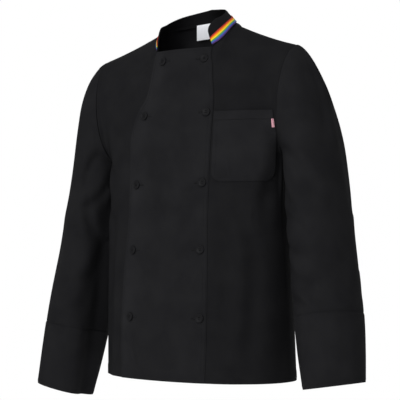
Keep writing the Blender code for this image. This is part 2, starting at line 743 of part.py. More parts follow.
def add_label():
    """The neck label hangs inside the back from the collar's seam."""
    run = np.linalg.norm(np.diff(body(1, np.array((0, NEAR)), 1.0), axis=0)) / NEAR
    half = LABEL_WIDTH / 2 / run
    across = LABEL_CENTRE_SHARE + np.linspace(-half, half, LABEL_POINTS)
    fall = body(1, LABEL_CENTRE_SHARE, np.array((1 - NEAR, 1)))
    drop = np.linalg.norm(np.diff(fall, axis=0)) / NEAR
    ups = np.linspace(1 - LABEL_HEIGHT / drop, 1, LABEL_POINTS) - SEAM_GAP / drop
    across, ups = np.broadcast_arrays(across[None, :], ups[:, None])
    points = body(1, across, ups)
    normals = body_normal(1, across, ups)
    hang = np.linspace(1, 0, LABEL_POINTS)[:, None]
    clear = LABEL_CLEARANCE * hang + LAYER_GAP + 0 * across
    faces = walled(points, normals, -clear - TRIM_WALL, -clear)
    add_wall("neck_label", *faces, "white_label")


def add_button(name, distance, height):
    share, up = front_place(distance, height)
    point = body(-1, share, up)
    normal = body_normal(-1, share, up)
    sideways = unit(np.cross((0, 0, 1), normal))
    upward = np.cross(normal, sideways)
    base = WALL + LAYER_GAP + DOUBLE_WALL + LAYER_GAP
    rings = (
        (BUTTON_RADIUS - BUTTON_CHAMFER, 0),
        (BUTTON_RADIUS, BUTTON_CHAMFER),
        (BUTTON_RADIUS, BUTTON_THICKNESS - BUTTON_CHAMFER),
        (BUTTON_RADIUS - BUTTON_CHAMFER, BUTTON_THICKNESS),
        (BUTTON_DISH_RADIUS, BUTTON_THICKNESS - BUTTON_DISH_DEPTH),
    )
    count = BUTTON_SIDES
    points = []
    for radius, out in rings:
        for step in range(count):
            turn = step * 2 * math.pi / count
            spoke = sideways * math.cos(turn) + upward * math.sin(turn)
            points.append(point + normal * (base + out) + spoke * radius)
    faces = [list(range(count))[::-1], [count * 4 + step for step in range(count)]]
    for ring in range(len(rings) - 1):
        for step in range(count):
            after = (step + 1) % count
            low = ring * count
            high = low + count
            faces.append([low + step, low + after, high + after, high + step])
    add_object(name, points, faces, "black_plastic")


def add_buttons():
    for number, row in enumerate(BUTTON_ROWS, 1):
        add_button(f"button_left_{number}", row.left, row.height)
        add_button(f"button_right_{number}", -row.right, row.height)


def clear_scene():
    for obj in list(bpy.data.objects):
        bpy.data.objects.remove(obj, do_unlink=True)


def main():
    clear_scene()
    add_body()
    add_collar()
    add_sleeve("sleeve_left", "cuff_left", LEFT_ARM, 1, LEFT_CAP_PUSH, LEFT_CUFF_SLANT)
    add_sleeve("sleeve_right", "cuff_right", RIGHT_ARM, -1, RIGHT_CAP_PUSH, RIGHT_CUFF_SLANT)
    add_pocket()
    add_label()
    add_buttons()


main()
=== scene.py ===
"""A worn chef jacket in black cotton twill, with its creases, sewing and trim.

Every cloth piece is a fine double-faced shell on the same form as its CAD solid.
The creases lie in short tables, in metres on the body and along the sleeves.
"""

import math
from collections import namedtuple

import bmesh
import bpy
import numpy as np
from mathutils import Matrix


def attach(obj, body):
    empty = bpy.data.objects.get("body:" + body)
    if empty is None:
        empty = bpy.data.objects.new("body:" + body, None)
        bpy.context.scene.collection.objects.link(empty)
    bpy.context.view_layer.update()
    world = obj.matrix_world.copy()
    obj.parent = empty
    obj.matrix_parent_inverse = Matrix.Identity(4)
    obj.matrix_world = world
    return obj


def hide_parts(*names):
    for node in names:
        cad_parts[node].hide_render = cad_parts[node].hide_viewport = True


bl_info = {
    "name": "Chef jacket",
    "version": (1, 0, 0),
    "blender": (4, 5, 0),
    "location": "View3D > Sidebar > Jacket",
    "description": "Dresses the chef jacket's frame in twill, sewing and trim",
    "category": "Object",
}

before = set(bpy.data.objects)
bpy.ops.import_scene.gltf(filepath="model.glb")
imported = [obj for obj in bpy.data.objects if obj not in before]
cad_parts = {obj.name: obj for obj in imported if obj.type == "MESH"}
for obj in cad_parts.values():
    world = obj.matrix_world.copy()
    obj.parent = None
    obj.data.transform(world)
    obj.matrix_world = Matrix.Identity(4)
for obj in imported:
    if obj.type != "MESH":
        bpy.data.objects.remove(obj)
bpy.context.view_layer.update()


def table(columns, *rows):
    """A table of rows of numbers, with names for its columns."""
    row = namedtuple("Row", columns)
    return [row(*numbers) for numbers in rows]


# ---------------------------------------------------------------- the jacket's form
SEAM_GAP = 0.0003
LAYER_GAP = 0.0004

HEM_HEIGHT = -0.7255
HEM_TILT = 0.018
UNDERARM_HEIGHT = -0.275
UNDERARM_SHARE = 0.667
BLUNTNESS = 0.03
LEVELS = table(
    "height half_width side front back",
    (-0.7255, 0.2130, 0.001, -0.1400, 0.122),
    (-0.6000, 0.2115, -0.002, -0.1330, 0.116),
    (-0.4640, 0.2090, -0.007, -0.1210, 0.109),
    (-0.3600, 0.2085, -0.012, -0.1110, 0.106),
    (-0.2750, 0.2120, -0.012, -0.1030, 0.107),
)
NECK_HALF_WIDTH = 0.0907
NECK_HALF_DEPTH = 0.0660
NECK_CENTRE = -0.0066
COLLAR_END_TURN = math.radians(50.5)
SHOULDER_TURN = math.radians(100)
FRONT_EDGE_DIP = 0.0134
NECK_LINE = table(
    "turn height",
    (50.5, -0.0515),
    (68.5, -0.0323),
    (87.0, -0.0120),
    (117.0, 0.0034),
    (151.5, 0.0127),
    (180.0, 0.0168),
)
SHOULDER_TIP = (0.240, 0.000, -0.0555)
SHOULDER_SAG = 0.003
COLLAR_END_SHARE = 0.21
SHOULDER_SHARE = 0.34
EASING = 0.11
EASING_FADE = 3
EASING_WEIGHTS = (
    (-1.5, 0.1),
    (-1, 0.15),
    (-0.5, 0.15),
    (0, 0.2),
    (0.5, 0.15),
    (1, 0.15),
    (1.5, 0.1),
)
LEAVE_LENGTH = 0.220
ARMHOLE_POWER = 6
LEAVE_ARMHOLE = (0.050, 0.205, 0.100)
REACH_FRONT_EDGE = (0, 0.050, 0.210)
REACH_SHOULDER_FRONT = (0, 0.170, 0.060)
REACH_TIP_FRONT = (0.034, 0.205, 0.060)
REACH_NAPE = (0, -0.100, 0.170)
REACH_SHOULDER_BACK = (0, -0.170, -0.060)
REACH_TIP_BACK = (0.034, -0.205, 0.060)

COLLAR_TOP_HALF_WIDTH = 0.069
COLLAR_TOP_HALF_DEPTH = 0.070
COLLAR_TOP_CENTRE = -0.021
COLLAR_TOP_END_TURN = math.radians(60.4)
COLLAR_TILT = 0.05
COLLAR_CLEARANCE = 1.6
COLLAR_CORNER = 0.009
COLLAR_TUCK = 0.005
TUCK_ROWS = 3
RIBBON_SHARE = 0.47
RIBBON_RAISE = 0.12
COLLAR_TOP = table(
    "turn height",
    (60.4, -0.0180),
    (68.0, -0.0050),
    (95.0, 0.0125),
    (125.0, 0.0290),
    (155.0, 0.0385),
    (180.0, 0.0430),
)

FRONT_EDGES = table(
    "height free_edge joining_seam",
    (-0.7255, 0.111, 0.098),
    (-0.6500, 0.116, 0.100),
    (-0.5200, 0.113, 0.099),
    (-0.4100, 0.105, 0.095),
    (-0.3200, 0.104, 0.094),
    (-0.2100, 0.106, 0.095),
    (-0.1750, 0.098, 0.097),
    (-0.1350, 0.080, 0.098),
    (-0.0900, 0.073, 0.100),
    (-0.0515, 0.070, 0.109),
)
FRONT_CLIMB = 0.675
PLACE_STEPS = 12
UNDERLAP = 0.010
TUCK = 0.006
STEP_WIDTH = 0.060
NECK_STEP_WIDTH = 0.010
HALF_FRONT = 0.33
YOKE_SHARE = 0.13
TOP_EASE = 0.80
COLUMN_EASE = 0.60
SEAM_SPREAD = 6

BUTTON_RADIUS = 0.009
BUTTON_THICKNESS = 0.0032
BUTTON_DISH = 0.0009
HOLE_OFFSET = 0.0017
HOLE_RADIUS = 0.00085
BUTTON_THREAD_RADIUS = 0.00022
STRAND_STEP = 0.00025
SHORT_LINE = 0.0000306  # half of a line that takes one long stitch
BUTTONHOLE_THREAD_RADIUS = 0.00036
BUTTONHOLE_START = 0.003
BUTTONHOLE_LIFT = 0.0002
BUTTON_ROWS = table(
    "height left right",
    (-0.075, 0.059, 0.042),
    (-0.187, 0.081, 0.076),
    (-0.329, 0.080, 0.085),
    (-0.463, 0.082, 0.088),
    (-0.599, 0.086, 0.089),
)

POCKET_INSET = 0.005
POCKET_WIDTH = 0.131
POCKET_TOP = -0.187
POCKET_BOTTOM = -0.328
POCKET_CORNER = 0.020
POCKET_BAND = 0.018
POCKET_BAND_RAISE = 0.0008
POCKET_BAND_STEP = 0.0004
POCKET_CLEARANCE = 0.0011
POCKET_SLACK = 0.0016
TAG_LENGTH = 0.007
TAG_TOP = -0.2045
TAG_BOTTOM = -0.2210
TAG_FOLD = 0.00032
TAG_TURN = 0.6  # the share of the tag's length that lies along the front
TAG_THICKNESS = 0.00036
LABEL_CENTRE_SHARE = -0.062
LABEL_WIDTH = 0.037
LABEL_HEIGHT = 0.031
LABEL_CLEARANCE = 0.0035
LABEL_SWING = 0.012
LABEL_BOW = 0.0012
LABEL_THICKNESS = 0.0006

ARM_COLUMNS = "height out fore half_width half_depth"
LEFT_ARM = table(
    ARM_COLUMNS,
    (-0.285, 0.2710, 0.014, 0.0540, 0.078),
    (-0.335, 0.2775, 0.010, 0.0575, 0.078),
    (-0.400, 0.2865, 0.003, 0.0590, 0.078),
    (-0.468, 0.2965, -0.003, 0.0605, 0.078),
    (-0.535, 0.3062, -0.009, 0.0620, 0.078),
    (-0.600, 0.3155, -0.014, 0.0630, 0.078),
    (-0.665, 0.3245, -0.022, 0.0608, 0.075),
    (-0.729, 0.3345, -0.031, 0.0558, 0.070),
)
RIGHT_ARM = table(
    ARM_COLUMNS,
    (-0.285, 0.2680, 0.014, 0.0520, 0.078),
    (-0.335, 0.2725, 0.010, 0.0550, 0.078),
    (-0.400, 0.2795, 0.003, 0.0590, 0.078),
    (-0.468, 0.2885, -0.003, 0.0600, 0.078),
    (-0.535, 0.3000, -0.009, 0.0610, 0.078),
    (-0.610, 0.3140, -0.016, 0.0610, 0.077),
    (-0.685, 0.3265, -0.025, 0.0570, 0.074),
    (-0.764, 0.3400, -0.034, 0.0525, 0.069),
)
CUFF_LENGTH = 0.137
LEFT_CUFF_SLANT = (0.0080, math.radians(91))
RIGHT_CUFF_SLANT = (0.0040, math.radians(215))
CAP_BREADTH = 0.6
LEFT_CAP_PUSH = 0.56
RIGHT_CAP_PUSH = 0.78
CAP_FALL = 0.85
CAP_FOLLOW = 0.15
UNDERARM_CLEARANCE = 0.0016
CAP_DROOP = 0.35
UNDERARM_TURN = 0.040

# ---------------------------------------------------------------- edges and sewing
SHARP_CLOTH = math.radians(50)
SHARP_BUTTON = math.radians(35)
PANEL_ROLL = 0.0026  # how far from a sewn edge the cloth sinks
BAND_ROLL = 0.0024
COLLAR_ROLL = 0.0022
POCKET_ROLL = 0.0009
POCKET_INNER_ROLL = 0.0006
INNER_SHARE = 0.6  # how much of that the inner face follows
COLLAR_ROLL_SHARE = 0.4
CUFF_ROLL_SHARE = 0.3
CURL_WIDTH = 0.030
CURL_FADE = 0.15
TUCK_LIFT = 0.0002
RIBBON_THICKNESS = 0.0010
COLLAR_OUTSIDE_PAINTED_SHADE = 0.84  # painted shade: the collar's twill is darkened, outside and inside, for the shade that falls on it
COLLAR_INSIDE_PAINTED_SHADE = 0.80
THREAD_STANDS = 0.4
SEAM_INSET = 0.004  # each line of sewing lies this far from its edge
ARMHOLE_INSET = 0.005
COLLAR_INSET = 0.005
FREE_INSET = 0.0055
JOINING_INSETS = (0.0025, 0.0095)
RIBBON_INSET = 0.0012
SLEEVE_INSET = 0.004
CUFF_TOP_INSET = 0.0035
CUFF_HEM_INSET = 0.0070
POCKET_SEAMS = (0.0022, 0.0082)
HEM_END = 0.99  # hem stitches end at this share of half a panel, and at a joint this far off
HEM_JOINT = 0.01
SHOULDER_END = 0.985
ARMHOLE_UPS = np.linspace(UNDERARM_SHARE + 0.004, 0.985, 60)
SIDE_UPS = np.linspace(0.004, UNDERARM_SHARE - 0.004, 80)
CAP_SMOOTH = (0.002, 0.030)  # the lengths below the armhole over which the folds begin
CAP_NORMAL_ROWS = 6

# ---------------------------------------------------------------- densities
LOW_ROWS = 80
HIGH_ROWS = 46
ARM_HIGH_ROWS = 48  # half of the columns round a sleeve
CAP_ROWS = 44
ARM_ROWS = 62
CUFF_ROWS = 28
SIDE_COLUMNS = 40
NECK_COLUMNS = 16
LAP_COLUMNS = 42
BACK_NECK_COLUMNS = 26
COLLAR_COLUMNS = 40
COLLAR_ROWS = 7
POCKET_SIDE_POINTS = 9
POCKET_MIDDLE_POINTS = 22
POCKET_ROWS = 34
BAND_ROWS = 7
LABEL_POINTS = 17
TABLE_UPS = 121
TABLE_SHARES = 161
NEAR = 0.01
FINE = 0.001

# ---------------------------------------------------------------- creases
# A row is (start x, start z, end x, end z, bow, width, depth, ridge). A crease runs from
# its start to its end, bowed sideways in the middle. Its trough is depth deep, and a softer
# ridge follows on its right-hand side, seen from its start.
FRONT_CREASES = (
    # from the collar and shoulders
    (0.075, -0.060, 0.020, -0.120, 0.006, 0.010, 0.0018, 0.6),
    (-0.080, -0.045, -0.165, -0.095, -0.008, 0.012, 0.0030, 0.6),
    (-0.095, -0.060, -0.185, -0.150, 0.012, 0.014, 0.0022, 0.6),
    (0.105, -0.045, 0.175, -0.110, 0.010, 0.013, 0.0020, 0.7),
    # from the armholes
    (-0.218, -0.215, -0.150, -0.330, 0.014, 0.013, 0.0036, 0.6),
    (-0.214, -0.262, -0.178, -0.400, 0.012, 0.011, 0.0034, 0.6),
    (0.216, -0.235, 0.190, -0.370, -0.014, 0.012, 0.0030, 0.6),
    (0.210, -0.265, 0.196, -0.440, 0.006, 0.010, 0.0024, 0.6),
    # long soft folds that fall to the hem
    (-0.166, -0.400, -0.172, -0.725, 0.006, 0.016, 0.0042, 0.8),
    (-0.140, -0.480, -0.132, -0.725, -0.005, 0.010, 0.0022, 0.6),
    (0.134, -0.335, 0.148, -0.690, 0.008, 0.020, 0.0036, 0.7),
    (0.178, -0.420, 0.168, -0.725, -0.006, 0.014, 0.0034, 0.8),
    (0.110, -0.520, 0.106, -0.725, 0.003, 0.011, 0.0016, 0.5),
    (0.150, -0.350, 0.186, -0.470, 0.008, 0.012, 0.0020, 0.6),
    # between the button rows
    (-0.078, -0.190, 0.010, -0.225, 0.008, 0.012, 0.0014, 0.5),
    (-0.080, -0.335, -0.020, -0.372, -0.008, 0.012, 0.0015, 0.5),
    (0.080, -0.334, 0.026, -0.380, 0.006, 0.011, 0.0013, 0.5),
    (-0.084, -0.468, -0.030, -0.520, 0.008, 0.013, 0.0016, 0.5),
    (-0.086, -0.604, -0.062, -0.712, 0.006, 0.010, 0.0020, 0.6),
    (0.082, -0.470, 0.040, -0.560, -0.010, 0.014, 0.0015, 0.5),
    (-0.070, -0.690, -0.094, -0.655, 0.002, 0.006, 0.0016, 0.6),
)
BACK_CREASES = (
    (0.060, -0.030, 0.150, -0.130, 0.010, 0.013, 0.0024, 0.6),
    (-0.062, -0.032, -0.140, -0.120, -0.012, 0.012, 0.0020, 0.6),
    (-0.216, -0.215, -0.150, -0.330, 0.014, 0.013, 0.0036, 0.6),
    (-0.212, -0.262, -0.170, -0.420, 0.012, 0.012, 0.0032, 0.6),
    (0.217, -0.225, 0.160, -0.350, -0.014, 0.013, 0.0032, 0.6),
    (0.211, -0.268, 0.178, -0.410, -0.010, 0.011, 0.0030, 0.6),
    (-0.130, -0.190, -0.118, -0.480, 0.012, 0.018, 0.0030, 0.7),
    (0.142, -0.220, 0.120, -0.520, -0.010, 0.018, 0.0026, 0.7),
    (-0.090, -0.430, -0.112, -0.725, 0.008, 0.018, 0.0040, 0.8),
    (-0.020, -0.500, -0.012, -0.725, -0.006, 0.016, 0.0030, 0.7),
    (0.064, -0.460, 0.082, -0.725, 0.007, 0.019, 0.0038, 0.8),
    (0.150, -0.480, 0.158, -0.725, -0.005, 0.015, 0.0034, 0.7),
    (-0.165, -0.520, -0.172, -0.725, 0.004, 0.013, 0.0030, 0.7),
    (-0.060, -0.150, 0.050, -0.168, 0.010, 0.014, 0.0012, 0.5),
)

# Along a sleeve a turn stands in place of x: the angle from its outer side (0) by its front
# (90) to the side against the body (180) and its back (270).
LEFT_FOLDS = (
    (20, -0.085, 32, -0.255, 0.010, 0.016, 0.0024, 0.6),
    (70, -0.110, 84, -0.235, -0.008, 0.012, 0.0022, 0.6),
    (128, -0.262, 62, -0.345, 0.012, 0.013, 0.0034, 0.7),
    (150, -0.295, 92, -0.395, -0.012, 0.012, 0.0032, 0.7),
    (-12, -0.190, -20, -0.380, 0.008, 0.020, 0.0026, 0.6),
    (140, -0.400, 74, -0.438, 0.010, 0.012, 0.0030, 0.7),
    (150, -0.452, 58, -0.478, -0.012, 0.014, 0.0038, 0.7),
    (142, -0.495, 40, -0.540, -0.014, 0.013, 0.0030, 0.7),
    (18, -0.440, 36, -0.560, 0.010, 0.015, 0.0020, 0.6),
    (146, -0.560, 84, -0.588, 0.008, 0.011, 0.0030, 0.7),
    (60, -0.565, 96, -0.520, 0.006, 0.011, 0.0016, 0.6),
    (232, -0.300, 300, -0.385, 0.012, 0.014, 0.0032, 0.7),
    (218, -0.415, 296, -0.462, -0.012, 0.014, 0.0036, 0.7),
    (222, -0.490, 310, -0.512, 0.010, 0.013, 0.0030, 0.7),
    (238, -0.530, 298, -0.562, 0.008, 0.012, 0.0022, 0.6),
    (300, -0.100, 288, -0.250, 0.008, 0.014, 0.0026, 0.6),
    (30, -0.600, 46, -0.715, 0.006, 0.012, 0.0014, 0.5),
    (118, -0.610, 132, -0.720, -0.006, 0.012, 0.0016, 0.5),
    (250, -0.605, 262, -0.700, 0.006, 0.013, 0.0016, 0.5),
)
RIGHT_FOLDS = (
    (20, -0.090, 30, -0.250, 0.010, 0.016, 0.0026, 0.6),
    (74, -0.105, 96, -0.240, -0.008, 0.013, 0.0026, 0.6),
    (132, -0.255, 108, -0.330, 0.010, 0.011, 0.0034, 0.7),
    (158, -0.300, 112, -0.372, -0.012, 0.012, 0.0036, 0.7),
    (118, -0.372, 158, -0.448, 0.010, 0.011, 0.0052, 0.7),
    (96, -0.410, 150, -0.476, -0.010, 0.012, 0.0030, 0.7),
    (160, -0.462, 142, -0.610, 0.010, 0.017, 0.0052, 0.8),
    (150, -0.500, 84, -0.540, -0.012, 0.014, 0.0026, 0.7),
    (60, -0.420, 76, -0.580, 0.008, 0.018, 0.0020, 0.6),
    (140, -0.585, 92, -0.606, 0.006, 0.010, 0.0022, 0.6),
    (226, -0.305, 290, -0.392, 0.012, 0.014, 0.0034, 0.7),
    (216, -0.425, 300, -0.470, -0.012, 0.014, 0.0036, 0.7),
    (224, -0.500, 306, -0.528, 0.010, 0.013, 0.0030, 0.7),
    (244, -0.560, 325, -0.600, 0.008, 0.013, 0.0022, 0.6),
    (296, -0.105, 284, -0.255, 0.008, 0.014, 0.0026, 0.6),
    (70, -0.640, 84, -0.740, -0.005, 0.012, 0.0014, 0.5),
    (240, -0.640, 256, -0.735, 0.006, 0.013, 0.0016, 0.5),
    (160, -0.380, 198, -0.900, 0.004, 0.026, 0.0128, 0.50),
)
FOLD_RADIUS = 0.068  # turns a sleeve's angle into a length round it
SEAM_EASE = 0.07  # the share of half a panel over which its creases die out at the side seam
CREASE_POINTS = 12
CREST_PLACE = 1.7  # in widths of the crease, from the trough's middle
CREST_WIDTH = 1.2
CREASE_START = 0.12  # how far along a half wave the creases begin, run and end
CREASE_RUN = 0.80
CREASE_POWER = 0.7


def ease(value, low, high):
    """0 below low, 1 above high, and a smooth rise between them."""
    share = np.clip((np.asarray(value, float) - low) / (high - low), 0, 1)
    return share * share * (3 - 2 * share)


def along(rows, column, place):
    """The smooth curve of a table's column over the table's first column."""
    xs = np.array([row[0] for row in rows], float)
    ys = np.array([getattr(row, column) for row in rows], float)
    slopes = np.gradient(ys, xs)
    place = np.clip(np.asarray(place, float), xs[0], xs[-1])
    low = np.clip(np.searchsorted(xs, place, side="right") - 1, 0, len(xs) - 2)
    step = xs[low + 1] - xs[low]
    share = (place - xs[low]) / step
    return between(ys[low], ys[low + 1], slopes[low] * step, slopes[low + 1] * step, share)


def between(start, end, leave, reach, share):
    """The curve from start to end that leaves and reaches them along two vectors."""
    rest = 1 - share
    return (
        start * (1 + 2 * share) * rest**2
        + end * (1 + 2 * rest) * share**2
        + leave * share * rest**2
        - reach * rest * share**2
    )


def unit(vectors):
    return vectors / np.linalg.norm(vectors, axis=-1, keepdims=True)


def body_level(face, across, height):
    side = along(LEVELS, "side", height)
    reach = along(LEVELS, "front" if face < 0 else "back", height) - side
    turn = across * math.pi / 2
    push = 1 + BLUNTNESS * np.sin(2 * turn) ** 2
    x = along(LEVELS, "half_width", height) * np.sin(turn) * push
    return np.stack([x, side + reach * np.cos(turn) * push, height + 0 * x], -1)


def oval(turn, half_width, half_depth, centre, heights):
    height = along(heights, "height", np.degrees(turn))
    return np.stack([half_width * np.sin(turn), centre - half_depth * np.cos(turn), height], -1)


def neck_oval(turn):
    return oval(turn, NECK_HALF_WIDTH, NECK_HALF_DEPTH, NECK_CENTRE, NECK_LINE)


def collar_top(turn):
    size = COLLAR_TOP_HALF_WIDTH, COLLAR_TOP_HALF_DEPTH, COLLAR_TOP_CENTRE
    return oval(turn, *size, COLLAR_TOP)


def front_edge_curve(share):
    end = neck_oval(np.array(COLLAR_END_TURN))
    dip = FRONT_EDGE_DIP * (1 - share**2)
    return np.stack([end[0] * share, end[1] - dip, end[2] + 0 * share], -1)


def body_top(face, across):
    """The top edge of the front or back: neckline, then shoulder seam."""
    reach = np.abs(across)
    neck_point = neck_oval(np.array(SHOULDER_TURN))
    share = np.clip((reach - SHOULDER_SHARE) / (1 - SHOULDER_SHARE), 0, 1)[..., None]
    shoulder = neck_point + (np.array(SHOULDER_TIP) - neck_point) * share
    shoulder[..., 2:] -= SHOULDER_SAG * 4 * share * (1 - share)
    if face < 0:
        width = SHOULDER_SHARE - COLLAR_END_SHARE
        share = np.clip((reach - COLLAR_END_SHARE) / width, 0, 1)
        ring = neck_oval(COLLAR_END_TURN + (SHOULDER_TURN - COLLAR_END_TURN) * share)
        edge = front_edge_curve(np.clip(reach / COLLAR_END_SHARE, 0, 1))
        neck = np.where((reach > COLLAR_END_SHARE)[..., None], ring, edge)
    else:
        share = np.clip(reach / SHOULDER_SHARE, 0, 1)
        neck = neck_oval(math.pi - (math.pi - SHOULDER_TURN) * share)
    point = np.where((reach > SHOULDER_SHARE)[..., None], shoulder, neck)
    point[..., 0] *= np.where(across < 0, -1, 1)
    return point


def reaching(face, across):
    """The direction in which the front or back arrives at its top edge."""
    reach = np.abs(across)[..., None]
    tip = ease(reach, SHOULDER_SHARE, 1)
    if face < 0:
        centre, neck, end = REACH_FRONT_EDGE, REACH_SHOULDER_FRONT, REACH_TIP_FRONT
        over = ease(reach, COLLAR_END_SHARE / 2, SHOULDER_SHARE + COLLAR_END_SHARE / 4)
    else:
        centre, neck, end = REACH_NAPE, REACH_SHOULDER_BACK, REACH_TIP_BACK
        over = ease(reach, 0, SHOULDER_SHARE)
    shoulder = np.array(neck) * (1 - tip) + np.array(end) * tip
    vector = np.array(centre) * (1 - over) + shoulder * over
    vector[..., 0] *= np.sign(across)
    return vector


def body_above(face, across, share):
    height = np.full(across.shape, UNDERARM_HEIGHT)
    start = body_level(face, across, height)
    below = body_level(face, across, height - NEAR)
    armhole = (np.abs(across) ** ARMHOLE_POWER)[..., None]
    turned = np.stack([np.sign(across), face + 0 * across, 1 + 0 * across], -1)
    leave = (start - below) * LEAVE_LENGTH / NEAR * (1 - armhole)
    leave = leave + np.array(LEAVE_ARMHOLE) * turned * armhole
    end = body_top(face, across)
    return between(start, end, leave, reaching(face, across), share[..., None])


def body(face, across, up):
    """The body form. face is -1 for the front and 1 for the back, across runs from -1 to 1
    between the side edges, and up from 0 at the hem to 1 at the neckline and shoulders."""
    across, up = np.broadcast_arrays(np.asarray(across, float), np.asarray(up, float))
    rise = np.clip(up / UNDERARM_SHARE, 0, 1)
    low = body_level(face, across, HEM_HEIGHT + rise * (UNDERARM_HEIGHT - HEM_HEIGHT))
    low[..., 2] -= HEM_TILT * low[..., 0] * (1 - rise)
    share = np.clip((up - UNDERARM_SHARE) / (1 - UNDERARM_SHARE), 0, 1)
    inwards = np.minimum(1, EASING_FADE * (1 - np.abs(across)))
    soft = EASING * 2 * share * (1 - share) * inwards
    high = sum(
        weight * body_above(face, np.clip(across + soft * step, -1, 1), share)
        for step, weight in EASING_WEIGHTS
    )
    return np.where((up > UNDERARM_SHARE)[..., None], high, low)


def body_normal(face, across, up):
    left = body(face, np.clip(across + FINE, -1, 1), up)
    right = body(face, np.clip(across - FINE, -1, 1), up)
    above = body(face, across, np.clip(up + FINE, 0, 1))
    below = body(face, across, np.clip(up - FINE, 0, 1))
    return unit(np.cross(left - right, above - below)) * -face


def distance_table():
    """How far the front's points lie from the centre front, on a grid of ups and shares."""
    ups = np.linspace(0, 1, TABLE_UPS)
    shares = np.linspace(0, 1, TABLE_SHARES)
    points = body(-1, shares[None, :], ups[:, None])
    steps = np.linalg.norm(np.diff(points, axis=1), axis=2)
    return ups, shares, np.pad(np.cumsum(steps, axis=1), ((0, 0), (1, 0)))


UPS, SHARES, DISTANCES = distance_table()


def share_at(up, distance):
    """The across share of points at a signed distance from the centre front."""
    up, distance = np.broadcast_arrays(np.asarray(up, float), np.asarray(distance, float))
    flat = []
    for one_up, one_distance in zip(up.ravel(), distance.ravel()):
        place = one_up * (len(UPS) - 1)
        low = min(int(place), len(UPS) - 2)
        row = DISTANCES[low] + (DISTANCES[low + 1] - DISTANCES[low]) * (place - low)
        flat.append(math.copysign(np.interp(abs(one_distance), row, SHARES), one_distance))
    return np.array(flat).reshape(up.shape)


def front_place(distance, height):
    """(across, up) of the front's points at these distances and heights."""
    distance, height = np.broadcast_arrays(np.asarray(distance, float), np.asarray(height, float))
    up = np.clip((height - HEM_HEIGHT) / FRONT_CLIMB, 0, 1)
    for _ in range(PLACE_STEPS):
        found = body(-1, share_at(up, distance), up)[..., 2]
        up = np.clip(up + (height - found) / FRONT_CLIMB, 0, 1)
    return share_at(up, distance), up


def body_ups(low_rows, high_rows):
    low = np.linspace(0, UNDERARM_SHARE, low_rows + 1)[:-1]
    swing = 0.5 - 0.5 * np.cos(np.linspace(0, math.pi, high_rows + 1))
    return np.concatenate([low, UNDERARM_SHARE + (1 - UNDERARM_SHARE) * swing])


BODY_UPS = body_ups(LOW_ROWS, HIGH_ROWS)


def edge_share(column):
    """The across share of the lap's free edge or joining seam, row by row."""
    heights = body(-1, SHOULDER_SHARE, BODY_UPS)[:, 2]
    share = share_at(BODY_UPS, along(FRONT_EDGES, column, heights))
    over = ease(BODY_UPS, TOP_EASE, 1)
    return share * (1 - over) + COLLAR_END_SHARE * over


FREE_EDGE = edge_share("free_edge")
JOINING_SEAM = edge_share("joining_seam")


def left_lift(across, ups):
    """The left front rises from the body form to the lap at their seam."""
    cloth = bpy.context.scene.jacket_cloth
    seam = np.interp(ups, BODY_UPS, JOINING_SEAM)
    beyond = (across - seam) * HALF_FRONT
    width = STEP_WIDTH + (NECK_STEP_WIDTH - STEP_WIDTH) * ease(ups, TOP_EASE, 1)
    return (cloth.wall + LAYER_GAP) * (1 - ease(beyond / width, 0, 1))


def spread(edges, counts):
    """Columns between edges, each a share or an array of one share for each row."""
    edges = [np.broadcast_to(edge, BODY_UPS.shape) for edge in edges]
    columns = []
    for low, high, count in zip(edges, edges[1:], counts):
        columns += [low + (high - low) * step / count for step in range(count)]
    return np.stack(columns + [edges[-1]], 1)


def seam_share():
    step = np.linalg.norm(body(-1, 1 - NEAR, BODY_UPS) - body(-1, 1, BODY_UPS), axis=-1) / NEAR
    return 1 - SEAM_GAP / 2 / step


def trimmed(across, face):
    """The rows' ups, with the top row half a seam gap below the top edge."""
    ups = np.repeat(BODY_UPS[:, None], across.shape[1], 1)
    last = body(face, across[-1], 1)
    before = body(face, across[-1], 1 - NEAR)
    ups[-1] -= SEAM_GAP / 2 / (np.linalg.norm(last - before, axis=-1) / NEAR)
    return ups


# ---------------------------------------------------------------- creases in the cloth
def crease_depth(places, creases, strength):
    """How far cloth at these places moves out, for creases in the places' own units."""
    moved = np.zeros(places.shape[:-1])
    for start_x, start_z, end_x, end_z, bow, width, depth, ridge in creases:
        start = np.array((start_x, start_z))
        run = np.array((end_x, end_z)) - start
        side = np.array((run[1], -run[0])) / np.linalg.norm(run)
        share = np.linspace(0, 1, CREASE_POINTS)[:, None]
        line = start + run * share + side * bow * 4 * share * (1 - share)
        nearest = np.full(moved.shape, 1e9)
        signed = np.zeros(moved.shape)
        progress = np.zeros(moved.shape)
        for index, step in enumerate(np.diff(line, axis=0)):
            length = np.linalg.norm(step)
            offset = places - line[index]
            place = np.clip(offset @ step / length**2, 0, 1)
            distance = np.linalg.norm(offset - place[..., None] * step, axis=-1)
            closer = distance < nearest
            nearest = np.where(closer, distance, nearest)
            across = offset @ np.array((step[1], -step[0])) / length
            signed = np.where(closer, np.copysign(distance, across), signed)
            progress = np.where(closer, (index + place) / (CREASE_POINTS - 1), progress)
        wave = np.sin(np.pi * np.clip(CREASE_START + CREASE_RUN * progress, 0, 1))
        trough = np.exp(-((signed / width) ** 2))
        crest = np.exp(-(((signed - CREST_PLACE * width) / (CREST_WIDTH * width)) ** 2))
        moved += strength * depth * wave**CREASE_POWER * (ridge * crest - trough)
    return moved


def body_relief(face, across, points):
    """The creases of the front or back, at points of the body form, level at the side seams."""
    cloth = bpy.context.scene.jacket_cloth
    creases = FRONT_CREASES if face < 0 else BACK_CREASES
    level = ease(1 - np.abs(across), 0.0, SEAM_EASE)
    return level * crease_depth(points[..., (0, 2)], creases, cloth.crease_strength)


def on_body(face, across, up, offset):
    """Points of a layer that lies this far off the body form, creases included."""
    points = body(face, across, up)
    normals = body_normal(face, across, up)
    return points + normals * (offset + body_relief(face, across, points))[..., None]


